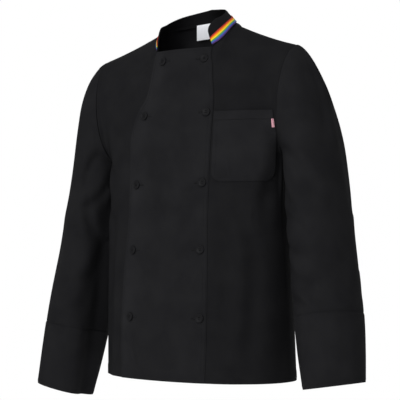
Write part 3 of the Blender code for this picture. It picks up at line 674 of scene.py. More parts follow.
# ---------------------------------------------------------------- shells and meshes
def steps_of(grid, axis):
    """The lengths of the steps between neighbouring rows (0) or columns (1) of a grid."""
    return np.linalg.norm(np.diff(grid, axis=axis), axis=2)


def edge_distances(grid):
    """How far each point of a grid lies from its first row, last row, first column and last."""
    up = np.pad(np.cumsum(steps_of(grid, 0), axis=0), ((1, 0), (0, 0)))
    across = np.pad(np.cumsum(steps_of(grid, 1), axis=1), ((0, 0), (1, 0)))
    return up, up[-1] - up, across, across[:, -1:] - across


def rolled(grid, depth, width, edges="btlr"):
    """How far the cloth sinks beside the named edges, where it is turned under and sewn."""
    return -sum(
        depth * np.exp(-((distance / width) ** 2))
        for edge, distance in zip("btlr", edge_distances(grid))
        if edge in edges
    )


def hem_fold(grid, fold, thickness):
    """The extra thickness of the cloth that is turned up at the first row."""
    return thickness * (1 - ease(edge_distances(grid)[0], fold - FINE, fold + FINE))


def add_object(name, data):
    made = bpy.data.objects.new(name, data)
    bpy.context.scene.collection.objects.link(made)
    return made


def quads(line, beside):
    """The faces between two lines of corners, or two stacks of lines."""
    corners = line[..., :-1], line[..., 1:], beside[..., 1:], beside[..., :-1]
    return np.stack(corners, -1).reshape(-1, 4)


def shell(name, inner, outer, material, closed=False, middle=None, lining=None):
    """A closed shell between two grids, with a UV map in metres along the cloth."""
    under, over = np.arange(2 * inner[..., 0].size).reshape(2, *inner.shape[:2])
    if closed:
        under, over = (np.concatenate([side, side[:, :1]], 1) for side in (under, over))
    faces = [
        quads(over[:-1], over[1:]),
        quads(under.T[:-1], under.T[1:]),
        quads(over[0, ::-1], under[0, ::-1]),
        quads(over[-1], under[-1]),
    ]
    if not closed:
        faces += [quads(over[:, 0], under[:, 0]), quads(over[::-1, -1], under[::-1, -1])]
    side_size = len(faces[0])
    faces = np.concatenate(faces)
    points = np.concatenate([inner.reshape(-1, 3), outer.reshape(-1, 3)])
    corners = points[faces]
    turned = np.cross(corners[:, 2] - corners[:, 0], corners[:, 3] - corners[:, 1])
    if (turned * corners.mean(1)).sum() < 0:
        faces = faces[:, ::-1]

    grid = outer if middle is None else middle
    u, v = (np.append(0, np.cumsum(steps_of(grid, axis).mean(1 - axis))) for axis in (1, 0))
    uvs = np.tile(np.stack(np.meshgrid(u, v), -1).reshape(-1, 2), (2, 1))[faces]
    if closed:
        whole = u[-1] + np.linalg.norm(grid[:, 0] - grid[:, -1], axis=1).mean()
        wide = np.ptp(uvs[..., :1], axis=1, keepdims=True) > whole / 2
        uvs[..., :1] += whole * (wide & (uvs[..., :1] < whole / 2))

    mesh = bpy.data.meshes.new(name)
    mesh.from_pydata(points.tolist(), [], faces.tolist())
    mesh.validate()
    mesh.uv_layers.new(name="UVMap").data.foreach_set("uv", uvs.astype(np.float32).ravel())
    mesh.shade_smooth()
    mesh.set_sharp_from_angle(angle=SHARP_CLOTH)
    mesh.materials.append(material)
    if lining:
        mesh.materials.append(lining)
        kinds = np.zeros(len(faces), np.int32)
        kinds[side_size : 2 * side_size] = 1
        mesh.polygons.foreach_set("material_index", kinds)
    return add_object(name, mesh)


def cut_of(grid, closed):
    """(width, length, area) of the cloth that a grid of points lies on, laid flat."""
    if closed:
        grid = np.concatenate([grid, grid[:, :1]], 1)
    width = steps_of(grid, 1).sum(1).max()
    length = steps_of(grid, 0).sum(0).max()
    corner = grid[:-1, :-1]
    area = sum(
        np.linalg.norm(np.cross(grid[1:, 1:] - corner, side - corner), axis=2).sum() / 2
        for side in (grid[:-1, 1:], grid[1:, :-1])
    )
    return float(width), float(length), float(min(area, width * length))


def cloth_piece(
    name,
    node,
    form,
    heights,
    material,
    rests_on,
    slot="black_twill",
    held="hung",
    flat=None,
    closed=False,
    **more,
):
    """A sheet of cloth, put on the frame in its node's place.

    form is a grid of points and its normals, heights are the sheet's two sides over it, flat
    the grid that its cut is measured on, and more is handed on to shell."""
    points, normals = form
    inner, outer = (points + normals * np.asarray(height)[..., None] for height in heights)
    piece = shell(name, inner, outer, material, closed, **more)
    width, length, area = cut_of((inner + outer) / 2 if flat is None else flat, closed)
    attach(piece, "root")
    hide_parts(node)
    return outer


# ---------------------------------------------------------------- nodes and materials
def fill(node, inputs):
    """Links a node's inputs to other nodes or sets their constants, and gives its outputs."""
    for name, value in inputs.items():
        if isinstance(value, bpy.types.NodeSocket):
            node.id_data.links.new(value, node.inputs[name])
        else:
            node.inputs[name].default_value = value
    return node.outputs


def add(tree, kind, inputs=None, **settings):
    """Adds a node with these settings and inputs, and gives its outputs."""
    node = tree.nodes.new(kind)
    for name, value in settings.items():
        setattr(node, name, value)
    return fill(node, inputs or {})


def maths(tree, operation, *values):
    return add(tree, "ShaderNodeMath", dict(enumerate(values)), operation=operation)[0]


def waves(tree, length, pitch):
    """A sine wave of this pitch along a length."""
    turns = maths(tree, "DIVIDE", length, pitch)
    return maths(tree, "SINE", maths(tree, "MULTIPLY", turns, 2 * math.pi))


def noise(tree, place, **inputs):
    return add(tree, "ShaderNodeTexNoise", {"Vector": place, **inputs})["Fac"]


def axis_of(tree, vector, axis):
    return add(tree, "ShaderNodeSeparateXYZ", {0: vector})[axis]


def rise(tree, value, low, high, start, end):
    """A smooth step from start to end between low and high."""
    inputs = {"Value": value, "From Min": low, "From Max": high, "To Min": start, "To Max": end}
    return add(tree, "ShaderNodeMapRange", inputs, interpolation_type="SMOOTHSTEP")["Result"]


def ramp(tree, factor, stops, interpolation="LINEAR"):
    """The colours of a ramp, whose stops are (position, colour), along a factor."""
    node = tree.nodes.new("ShaderNodeValToRGB")
    node.color_ramp.interpolation = interpolation
    elements = node.color_ramp.elements
    while len(elements) < len(stops):
        elements.new(1)
    for index, (position, colour) in enumerate(stops):
        elements[index].position = position
        elements[index].color = (*colour, 1)
    return fill(node, {"Fac": factor})["Color"]


def shaded(tree, colour, scale):
    inputs = {0: colour, "Scale": scale}
    return add(tree, "ShaderNodeVectorMath", inputs, operation="SCALE")[0]


def bump(tree, height, strength, distance):
    inputs = {"Height": height, "Strength": strength, "Distance": distance}
    return add(tree, "ShaderNodeBump", inputs)["Normal"]


def tinted(colour, factor):
    return [min(1, value * factor) for value in colour]


def node_group(name, kind, inputs, outputs, build):
    """The node group of this name, built once. Sockets are (name, type, default), and build
    takes the tree and the group's inputs and returns what its outputs are filled with."""
    if name not in bpy.data.node_groups:
        tree = bpy.data.node_groups.new(name, kind)
        for way, sockets in (("INPUT", inputs), ("OUTPUT", outputs)):
            for label, content, default in sockets:
                kind = "NodeSocket" + content
                made = tree.interface.new_socket(label, in_out=way, socket_type=kind)
                if default is not None:
                    made.default_value = default
        results = build(tree, add(tree, "NodeGroupInput"))
        fill(tree.nodes.new("NodeGroupOutput"), results)
    return bpy.data.node_groups[name]


def painted(name, paint):
    """The material of this name, painted once. paint takes the tree and the texture
    coordinates and returns the shader's inputs."""
    if name not in bpy.data.materials:
        made = bpy.data.materials.new(name)
        made.use_nodes = True
        tree = made.node_tree
        fill(tree.nodes["Principled BSDF"], paint(tree, add(tree, "ShaderNodeTexCoord")))
    return bpy.data.materials[name]


def weave_group():
    """Twill Weave: slanting ribs crossed by fine threads, with slubs and a soft uneven tone."""

    def build(tree, source):
        along_ribs = axis_of(tree, source["Cloth"], "Y")
        slanted = maths(tree, "MULTIPLY", along_ribs, source["Rib Slope"])
        slanted = maths(tree, "ADD", axis_of(tree, source["Cloth"], "X"), slanted)
        ribs = waves(tree, slanted, source["Rib Pitch"])
        threads = waves(tree, along_ribs, source["Thread Pitch"])
        height = maths(tree, "ADD", ribs, maths(tree, "MULTIPLY", threads, 0.35))
        slubs = noise(tree, source["Place"], Scale=900, Detail=2)
        scale = maths(tree, "DIVIDE", 1.0, source["Mottle Size"])
        mottle = noise(tree, source["Place"], Scale=scale, Detail=3, Roughness=0.55)
        fine = maths(tree, "MULTIPLY", slubs, 0.35)
        return {
            "Height": maths(tree, "ADD", height, slubs),
            "Tone": maths(tree, "ADD", maths(tree, "MULTIPLY", mottle, 0.65), fine),
        }

    inputs = (
        ("Cloth", "Vector", None),
        ("Place", "Vector", None),
        ("Rib Pitch", "Float", 0.0011),
        ("Rib Slope", "Float", 1.0),
        ("Thread Pitch", "Float", 0.0005),
        ("Mottle Size", "Float", 0.05),
    )
    outputs = (("Height", "Float", None), ("Tone", "Float", None))
    return node_group("Twill Weave", "ShaderNodeTree", inputs, outputs, build)


def woven(name, dark, light, rib_pitch, depth, roughness, sheen=0.05, gloss=0.04, shade=None):
    """A woven cloth between a dark and a light tone of its colour, times a factor of painted light
    and shade over the piece where shade is given.
    """

    def paint(tree, place):
        inputs = {
            "Cloth": place["UV"],
            "Place": place["Object"],
            "Rib Pitch": rib_pitch,
            "Thread Pitch": rib_pitch * 0.45,
        }
        weave = add(tree, "ShaderNodeGroup", inputs, node_tree=weave_group())
        colour = ramp(tree, weave["Tone"], ((0.38, dark), (0.62, light)))
        return {
            "Base Color": shaded(tree, colour, shade(tree, place)) if shade else colour,
            "Normal": bump(tree, weave["Height"], 0.35, depth),
            "Roughness": roughness,
            "Specular IOR Level": gloss,
            "Sheen Weight": sheen,
            "Sheen Roughness": 0.5,
        }

    return painted(name, paint)


def lap_edge_painted_highlight(tree, place):
    """Painted highlight: the lap's colour is lifted beside its free edge, standing in for the light
    that its raised edge catches.
    """
    return rise(tree, axis_of(tree, place["UV"], "X"), 0.012, 0.062, 1.20, 1.0)


def collar_inner_face_painted_shade(tree, place):
    """Painted shade: the collar's inner face darkens towards the top of its left side, for the
    shade that falls inside the collar there.
    """
    side = rise(tree, axis_of(tree, place["Object"], "X"), -0.045, 0.035, 0.0, 0.85)
    height = rise(tree, axis_of(tree, place["Object"], "Z"), 0.010, 0.030, 0.0, 1.0)
    return maths(tree, "SUBTRACT", 1.0, maths(tree, "MULTIPLY", side, height))


def twill(name="black_cotton_twill", tone=1.0, shade=None):
    """The black twill, in its own tone, or a copy for one piece with painted light or painted
    shade: its tone scaled, and on some pieces also shaded across by a painted highlight or painted
    shade.
    """
    cloth = bpy.context.scene.jacket_cloth
    dark, light = tinted(cloth.dark_tone, tone), tinted(cloth.light_tone, tone)
    return woven(name, dark, light, cloth.rib_pitch, cloth.rib_depth, 0.9, cloth.sheen, shade=shade)


def thread():
    """The black sewing thread."""

    def paint(tree, place):
        colour = bpy.context.scene.jacket_sewing.thread_colour
        twist = noise(tree, place["Object"], Scale=2500)
        return {
            "Base Color": ramp(tree, twist, ((0, tinted(colour, 0.7)), (1, tinted(colour, 1.3)))),
            "Roughness": 0.7,
            "Specular IOR Level": 0.06,
        }

    return painted("black_sewing_thread", paint)


def striped_ribbon():
    """Six woven stripes that lie along the ribbon, red at the top and violet at the seam."""

    def paint(tree, place):
        trim = bpy.context.scene.jacket_trim
        colours = trim.violet, trim.blue, trim.green, trim.yellow, trim.orange, trim.red
        stops = [(index / len(colours), colour) for index, colour in enumerate(colours)]
        share = maths(tree, "DIVIDE", axis_of(tree, place["UV"], "Y"), trim.ribbon_width)
        ribs = waves(tree, axis_of(tree, place["UV"], "X"), 0.0009)
        shade = maths(tree, "ADD", 0.92, maths(tree, "MULTIPLY", ribs, 0.08))
        return {
            "Base Color": shaded(tree, ramp(tree, share, stops, "CONSTANT"), shade),
            "Normal": bump(tree, ribs, 0.4, 0.0002),
            "Roughness": 0.6,
            "Specular IOR Level": 0.08,
        }

    return painted("striped_ribbon", paint)


def button_resin():
    """Satin black resin, a little uneven in its tone and shine."""

    def paint(tree, place):
        colour = bpy.context.scene.jacket_trim.button_colour
        cloud = noise(tree, place["Object"], Scale=160, Detail=4)
        return {
            "Base Color": ramp(tree, cloud, ((0, tinted(colour, 0.8)), (1, tinted(colour, 1.3)))),
            "Normal": bump(tree, cloud, 0.1, 0.0002),
            "Roughness": maths(tree, "ADD", 0.36, maths(tree, "MULTIPLY", cloud, 0.2)),
            "Specular IOR Level": 0.05,
        }

    return painted("black_button_resin", paint)


# ---------------------------------------------------------------- sewing
def stitch_tree():
    """Stitch Line: thread stitches laid end to end along the edges of a mesh."""

    def build(tree, source):
        line = add(tree, "GeometryNodeMeshToCurve", {"Mesh": source["Geometry"]})["Curve"]
        inputs = {"Curve": line, "Length": source["Pitch"]}
        spaced = add(tree, "GeometryNodeResampleCurve", inputs, mode="LENGTH")["Curve"]
        size = {"Vertices": 5, "Radius": source["Thread Radius"], "Depth": source["Stitch Length"]}
        stitch = add(tree, "GeometryNodeMeshCylinder", size)["Mesh"]
        tangent = add(tree, "GeometryNodeInputTangent")[0]
        kind = "GeometryNodeInputNamedAttribute"
        facing = add(tree, kind, {"Name": "facing"}, data_type="FLOAT_VECTOR")["Attribute"]
        inputs = {0: tangent, 1: facing}
        cross = add(tree, "ShaderNodeVectorMath", inputs, operation="CROSS_PRODUCT")[0]
        inputs = {"Switch": source["Crosswise"], "False": tangent, "True": cross}
        way = add(tree, "GeometryNodeSwitch", inputs, input_type="VECTOR")[0]
        turn = add(tree, "FunctionNodeAlignRotationToVector", {"Vector": way}, axis="Z")["Rotation"]
        inputs = {"Points": spaced, "Instance": stitch, "Rotation": turn}
        copies = add(tree, "GeometryNodeInstanceOnPoints", inputs)["Instances"]
        real = add(tree, "GeometryNodeRealizeInstances", {"Geometry": copies})["Geometry"]
        inputs = {"Geometry": real, "Material": source["Material"]}
        return {"Geometry": add(tree, "GeometryNodeSetMaterial", inputs)["Geometry"]}

    inputs = (
        ("Geometry", "Geometry", None),
        ("Pitch", "Float", None),
        ("Stitch Length", "Float", None),
        ("Thread Radius", "Float", None),
        ("Crosswise", "Bool", None),
        ("Material", "Material", None),
    )
    outputs = (("Geometry", "Geometry", None),)
    return node_group("Stitch Line", "GeometryNodeTree", inputs, outputs, build)


def stitched(name, lines, pitch, length, radius, crosswise=False):
    """Stitches along lines, each a pair of arrays: its points and the way they face."""
    mesh = bpy.data.meshes.new(name + "_lines")
    points, facing = (np.concatenate(arrays) for arrays in zip(*lines))
    owner = np.repeat(np.arange(len(lines)), [len(line) for line, _ in lines])
    edges = [(start, start + 1) for start in np.flatnonzero(owner[1:] == owner[:-1]).tolist()]
    mesh.from_pydata(points.tolist(), edges, [])
    attribute = mesh.attributes.new("facing", "FLOAT_VECTOR", "POINT")
    attribute.data.foreach_set("vector", facing.astype(np.float32).ravel())
    guide = add_object(name + "_guide", mesh)
    modifier = guide.modifiers.new("Stitches", "NODES")
    modifier.node_group = stitch_tree()
    values = {
        "Pitch": pitch,
        "Stitch Length": length,
        "Thread Radius": radius,
        "Crosswise": crosswise,
        "Material": thread(),
    }
    for item in modifier.node_group.interface.items_tree:
        if item.in_out == "INPUT" and item.name in values:
            modifier[item.identifier] = values[item.name]
    bpy.context.view_layer.update()
    graph = bpy.context.evaluated_depsgraph_get()
    result = bpy.data.meshes.new_from_object(guide.evaluated_get(graph))
    guide.modifiers.remove(modifier)
    bpy.data.objects.remove(guide, do_unlink=True)
    if not result.polygons:
        raise RuntimeError(name + " made no stitches")
    result.name = name
    result.shade_smooth()
    made = add_object(name, result)
    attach(made, "root")


SEWING = {}


def thread_lift():
    """How far the middle of a stitch stands off the cloth it is sewn into."""
    return bpy.context.scene.jacket_sewing.thread_radius * THREAD_STANDS


def note_line(name, points, normals, lift=0.0):
    """Keeps a line of sewing for the stitching operator."""
    SEWING.setdefault(name, []).append((points + normals * lift, normals))


def body_line(name, face, across, up, offset):
    """Keeps a line of sewing that lies this far off the body form."""
    across, up = np.broadcast_arrays(np.asarray(across, float), np.asarray(up, float))
    points = on_body(face, across, up, offset + thread_lift())
    note_line(name, points, body_normal(face, across, up))


def side_lines(name, face, ups, distance, offset):
    """Keeps lines of sewing this far inside both side edges of the front or back."""
    for sign in (-1, 1):
        edge = sign + 0 * ups
        step = np.linalg.norm(body(face, edge, ups) - body(face, edge * (1 - FINE), ups), axis=-1)
        body_line(name, face, edge * (1 - FINE * distance / np.maximum(step, 1e-9)), ups, offset)


def lowered(face, across, distance):
    """The up this far below the top edge."""
    step = np.linalg.norm(body(face, across, 1.0) - body(face, across, 1 - NEAR), axis=-1)
    return 1 - NEAR * distance / step


# ---------------------------------------------------------------- settings
def colour_property(name, description, default):
    return bpy.props.FloatVectorProperty(
        name=name, description=description, default=default, subtype="COLOR", size=3, min=0, max=1
    )


def number_property(name, description, default, **more):
    return bpy.props.FloatProperty(name=name, description=description, default=default, **more)


def length_property(name, description, default):
    more = {"subtype": "DISTANCE", "unit": "LENGTH", "min": 0, "precision": 5}
    return number_property(name, description, default, **more)


def height_property(name, description, default):
    return number_property(name, description, default, unit="LENGTH")


def angle_property(name, description, degrees):
    return number_property(name, description, math.radians(degrees), subtype="ANGLE")


class JacketCloth(bpy.types.PropertyGroup):
    wall: length_property("Cloth", "Thickness of one layer of twill", 0.0012)
    double_wall: length_property("Double cloth", "Thickness of the lap, collar and cuffs", 0.0020)
    crease_strength: number_property("Creases", "Depth of the creases", 1.35, min=0, max=2)
    hem_fold: length_property("Hem", "Width of the turned-up hem", 0.020)
    edge_roll: length_property("Edge roll", "How far a sewn edge sinks", 0.0007)
    edge_lift: length_property("Lap edge lift", "How far the lap's free edge stands off", 0.0018)
    # Painted light and shade: these scale the one black twill for each piece, lightening the lap,
    # pocket and cuffs and darkening the two fronts, for how light falls on each piece.
    lap_painted_light: number_property("Lap tone", "Lightness of the lap's twill", 1.04, min=0)
    right_front_painted_shade: number_property("Right front tone", "Lightness of its twill", 0.94, min=0)
    pocket_painted_light: number_property("Pocket tone", "Lightness of the pocket's twill", 1.12, min=0)
    cuff_tone: number_property("Cuff tone", "Lightness of the cuffs' twill", 1.03, min=0)
    left_front_painted_shade: number_property("Left front tone", "Lightness of its twill", 0.82, min=0)
    rib_pitch: length_property("Twill rib", "Width of one slanting rib of the twill", 0.0011)
    rib_depth: length_property("Rib depth", "Height of the ribs", 0.00025)
    sheen: number_property("Sheen", "Soft nap of the cotton", 0.0, min=0, max=1)
    dark_tone: colour_property("Dark tone", "Darker tone of the twill", (0.0068, 0.0068, 0.0076))
    light_tone: colour_property("Light tone", "Lighter tone of the twill", (0.0092, 0.0092, 0.0100))


class JacketSewing(bpy.types.PropertyGroup):
    pitch: length_property("Stitch pitch", "Distance from stitch to stitch", 0.0034)
    stitch_length: length_property("Stitch length", "Length of thread that shows", 0.0026)
    thread_radius: length_property("Thread radius", "Half the thread's thickness", 0.00028)
    buttonhole_pitch: length_property("Buttonhole pitch", "Between a buttonhole's stitches", 0.0007)
    buttonhole_length: length_property("Buttonhole", "Length of a buttonhole", 0.022)
    buttonhole_width: length_property("Buttonhole width", "Width over its stitches", 0.0036)
    thread_colour: colour_property("Thread", "Colour of the thread", (0.0085, 0.0085, 0.0092))


class JacketTrim(bpy.types.PropertyGroup):
    ribbon_width: length_property("Ribbon", "Width of the striped ribbon", 0.0135)
    red: colour_property("Red", "First stripe", (0.50, 0.045, 0.028))
    orange: colour_property("Orange", "Second stripe", (0.70, 0.180, 0.010))
    yellow: colour_property("Yellow", "Third stripe", (0.68, 0.520, 0.020))
    green: colour_property("Green", "Fourth stripe", (0.075, 0.260, 0.065))
    blue: colour_property("Blue", "Fifth stripe", (0.040, 0.085, 0.330))
    violet: colour_property("Violet", "Sixth stripe", (0.075, 0.036, 0.160))
    button_colour: colour_property("Buttons", "Colour of the resin", (0.0052, 0.0052, 0.0058))
    label_colour: colour_property("Label", "Colour of the neck label", (0.68, 0.69, 0.72))
    tag_lift: length_property("Tag lift", "How far the tag's fold stands off the cloth", 0.0075)
    tag_colour: colour_property("Tag", "Colour of the pocket's tag", (0.70, 0.36, 0.42))


class JacketStage(bpy.types.PropertyGroup):
    azimuth: angle_property("Azimuth", "Angle of the camera round the jacket", 35)
    distance: length_property("Distance", "From the camera to the jacket", 3.2)
    height: height_property("Height", "Height of the camera", -0.4436)
    lens: number_property("Lens", "Focal length in millimetres", 138.24, min=1)
    pitch: angle_property("Pitch", "Tilt upwards", 1.492)
    roll: angle_property("Roll", "Clockwise turn of the camera", 0.6)
    floor_height: height_property("Floor", "Height of the floor below the neck", -1.45)
    floor_radius: length_property("Floor size", "Radius of the floor", 3.0)
    room: number_property("Room light", "White light from all sides", 0.62, min=0)
    key: number_property("Key light", "Power of the large front light", 90, min=0)
    top: number_property("Top light", "Power of the light above the neck", 22, min=0)
    back: number_property("Back light", "Power of the light behind", 30, min=0)
    fill: number_property("Fill light", "Power of the side light", 7, min=0)


# ---------------------------------------------------------------- body panels
class JacketPiece:
    """What the jacket's operators share."""

    bl_options = {"REGISTER", "UNDO"}

    def execute(self, context):
        self.make(context.scene)
        return {"FINISHED"}


def body_piece(name, node, face, across, heights, material, rests_on, edges="btlr", tuck=False):
    """A panel of the body, from its columns' shares and its two heights over the form."""
    cloth = bpy.context.scene.jacket_cloth
    ups = trimmed(across, face)
    points = body(face, across, ups)
    normals = body_normal(face, across, ups)
    relief = body_relief(face, across, points)
    edge = rolled(points, cloth.edge_roll, PANEL_ROLL, edges)
    fold = hem_fold(points, cloth.hem_fold, cloth.wall * INNER_SHARE)
    low = heights[0] + relief + edge * INNER_SHARE
    high = heights[1] + relief + edge + fold
    flat = points + normals * ((low + high) / 2)[..., None]
    if tuck:
        under = np.stack([across[:, 0] - TUCK / HALF_FRONT, across[:, 0] - FINE * NEAR], 1)
        under_ups = np.repeat(ups[:, :1], 2, 1)
        base = body(face, under, under_ups)
        facing = body_normal(face, under, under_ups)
        sunk = body_relief(face, under, base) + TUCK_LIFT
        joined = (base, points), (facing, normals), (sunk, low), (sunk + cloth.wall, high)
        points, normals, low, high = (np.concatenate(pair, 1) for pair in joined)
    form = points, normals
    cloth_piece(name, node, form, (low, high), material, rests_on, flat=flat)


class JACKET_OT_back(JacketPiece, bpy.types.Operator):
    """Makes the back panel"""

    bl_idname = "jacket.back"
    bl_label = "Back"

    def make(self, scene):
        cloth = scene.jacket_cloth
        side = seam_share()
        counts = (SIDE_COLUMNS, 2 * BACK_NECK_COLUMNS, SIDE_COLUMNS)
        across = spread((-side, -SHOULDER_SHARE, SHOULDER_SHARE, side), counts)
        body_piece("back_panel", "back", 1, across, (0, cloth.wall), twill(), ["collar"])
        hem = np.linspace(-HEM_END, HEM_END, 90)
        body_line("hem_stitches", 1, hem, cloth.hem_fold / FRONT_CLIMB, cloth.wall)
        side_lines("armhole_stitches", 1, ARMHOLE_UPS, ARMHOLE_INSET, cloth.wall)
        side_lines("side_seam_stitches", 1, SIDE_UPS, SEAM_INSET, cloth.wall)
        for sign in (-1, 1):
            shares = sign * np.linspace(SHOULDER_SHARE + 0.01, SHOULDER_END, 40)
            body_line("shoulder_stitches", 1, shares, lowered(1, shares, SEAM_INSET), cloth.wall)


class JACKET_OT_fronts(JacketPiece, bpy.types.Operator):
    """Makes the two fronts and the buttoned lap"""

    bl_idname = "jacket.fronts"
    bl_label = "Fronts and lap"

    def make(self, scene):
        cloth = scene.jacket_cloth
        side = seam_share()
        over = ease(BODY_UPS, COLUMN_EASE, 1)
        gap = SEAM_GAP / 2 / HALF_FRONT * (1 + SEAM_SPREAD * over)
        short = JOINING_SEAM - UNDERLAP / HALF_FRONT
        neck = (JOINING_SEAM + YOKE_SHARE) * (1 - over) + SHOULDER_SHARE * over
        counts = (SIDE_COLUMNS, NECK_COLUMNS, LAP_COLUMNS)
        right = spread((-side, -neck, -FREE_EDGE, short), counts)
        # Painted shade: the right front is the same twill darkened for the shade that falls on it.
        plain = twill("right_front_twill_painted_shade", cloth.right_front_painted_shade)
        heights = 0, cloth.wall
        names = "right_front", "front_right", -1
        body_piece(*names, right, heights, plain, ["back", "collar"], edges="l")
        left = spread((JOINING_SEAM + gap, neck, side), (NECK_COLUMNS, SIDE_COLUMNS))
        low = left_lift(left, BODY_UPS[:, None])
        heights = low, low + cloth.wall
        # Painted shade: the left front is the same twill darkened for the shade that falls on it.
        darker = twill("left_front_twill_painted_shade", cloth.left_front_painted_shade)
        names = "left_front", "front_left", -1
        body_piece(*names, left, heights, darker, ["back", "collar"], tuck=True)
        lap = spread((-FREE_EDGE, JOINING_SEAM - gap), (LAP_COLUMNS + 4,))
        bed = cloth.wall + LAYER_GAP
        low = bed + self.curl((lap + FREE_EDGE[:, None]) * HALF_FRONT, BODY_UPS[:, None])
        heights = low, low + cloth.double_wall
        # Painted light: the lap is the same twill lightened, with a painted highlight along its
        # free edge.
        lighter = twill("lap_twill_painted_light", cloth.lap_painted_light, lap_edge_painted_highlight)
        body_piece("lap_panel", "overlap_panel", -1, lap, heights, lighter, ["front_left"])
        self.sew(cloth, bed + cloth.double_wall)

    def curl(self, beyond, ups):
        """How far the lap stands off the front below it, this far from its free edge."""
        lift = bpy.context.scene.jacket_cloth.edge_lift
        return lift * (1 - ease(beyond, 0, CURL_WIDTH)) * ease(1 - ups, 0, CURL_FADE)

    def sew(self, cloth, face):
        ups = np.linspace(0.012, 0.975, 150)
        free = np.interp(ups, BODY_UPS, -FREE_EDGE)
        seam = np.interp(ups, BODY_UPS, JOINING_SEAM)
        lift = face + self.curl(FREE_INSET, ups)
        body_line("lap_stitches", -1, free + FREE_INSET / HALF_FRONT, ups, lift)
        for distance in JOINING_INSETS:
            body_line("lap_stitches", -1, seam - distance / HALF_FRONT, ups, face)
        shares = np.linspace(-COLLAR_END_SHARE * 0.94, COLLAR_END_SHARE * 0.94, 40)
        body_line("lap_stitches", -1, shares, lowered(-1, shares, COLLAR_INSET), face)
        hem = cloth.hem_fold / FRONT_CLIMB
        free, seam = -FREE_EDGE[0], JOINING_SEAM[0]
        shares = np.linspace(-HEM_END, free - HEM_JOINT, 50)
        body_line("hem_stitches", -1, shares, hem, cloth.wall)
        shares = np.linspace(free + HEM_JOINT, seam - HEM_JOINT, 50)
        body_line("hem_stitches", -1, shares, hem, face)
        shares = np.linspace(seam + HEM_JOINT, HEM_END, 50)
        body_line("hem_stitches", -1, shares, hem, left_lift(shares, hem) + cloth.wall)
        side_lines("armhole_stitches", -1, ARMHOLE_UPS, ARMHOLE_INSET, cloth.wall)


# ---------------------------------------------------------------- collar and ribbon
def collar_grid(rows, columns):
    """The collar's inner face, rows from the neck seam up and columns round the neck."""
    cloth = bpy.context.scene.jacket_cloth
    corner = COLLAR_END_TURN + COLLAR_CORNER / NECK_HALF_WIDTH
    parts = (
        np.linspace(COLLAR_END_TURN, corner, 12)[:-1],
        np.linspace(corner, SHOULDER_TURN, columns // 2)[:-1],
        np.linspace(SHOULDER_TURN, math.pi, columns),
    )
    turns = np.concatenate(parts)
    beyond = turns - COLLAR_END_TURN
    base = neck_oval(turns)
    progress = beyond / (math.pi - COLLAR_END_TURN)
    top = collar_top(COLLAR_TOP_END_TURN + (math.pi - COLLAR_TOP_END_TURN) * progress)
    height = np.linalg.norm(top - base, axis=1)
    slope = (SHOULDER_SHARE - COLLAR_END_SHARE) / (SHOULDER_TURN - COLLAR_END_TURN)
    lift = left_lift(COLLAR_END_SHARE + beyond * slope, 1.0)
    start = SEAM_GAP + COLLAR_CLEARANCE * (cloth.wall + lift)
    above = np.linspace(RIBBON_SHARE, 1, rows)[1:]
    shares = np.concatenate([np.linspace(0, RIBBON_SHARE, rows), above])
    inset = np.clip(COLLAR_CORNER - np.linalg.norm(base[:1] - base, axis=1), 0, None)
    cut = COLLAR_CORNER - np.sqrt(COLLAR_CORNER**2 - inset**2)
    over = np.clip((shares - RIBBON_SHARE) / (1 - RIBBON_SHARE), 0, 1)[:, None]
    length = start + shares[:, None] * (height - start) - over * cut
    up = unit(top - base)
    inward = unit((np.array((0, NECK_CENTRE, 0)) - base) * (1, 1, 0))
    inward *= cloth.double_wall + 3 * SEAM_GAP
    under = [base + up * rise + inward for rise in (-COLLAR_TUCK, 0, cloth.wall * 1.1)]
    half = np.concatenate([np.array(under), base + up * length[..., None]])
    shares = np.concatenate([np.zeros(TUCK_ROWS), shares])
    whole = np.concatenate([half, half[:, -2::-1] * (-1, 1, 1)], 1)
    whole[..., 2] += COLLAR_TILT * whole[..., 0] * shares[:, None]
    return whole


def grid_normals(grid, outward):
    """Unit normals of a grid of points, all on the side that the outward vectors take."""
    normals = unit(np.cross(np.gradient(grid, axis=1), np.gradient(grid, axis=0)))
    return normals * np.sign((normals * outward).sum())


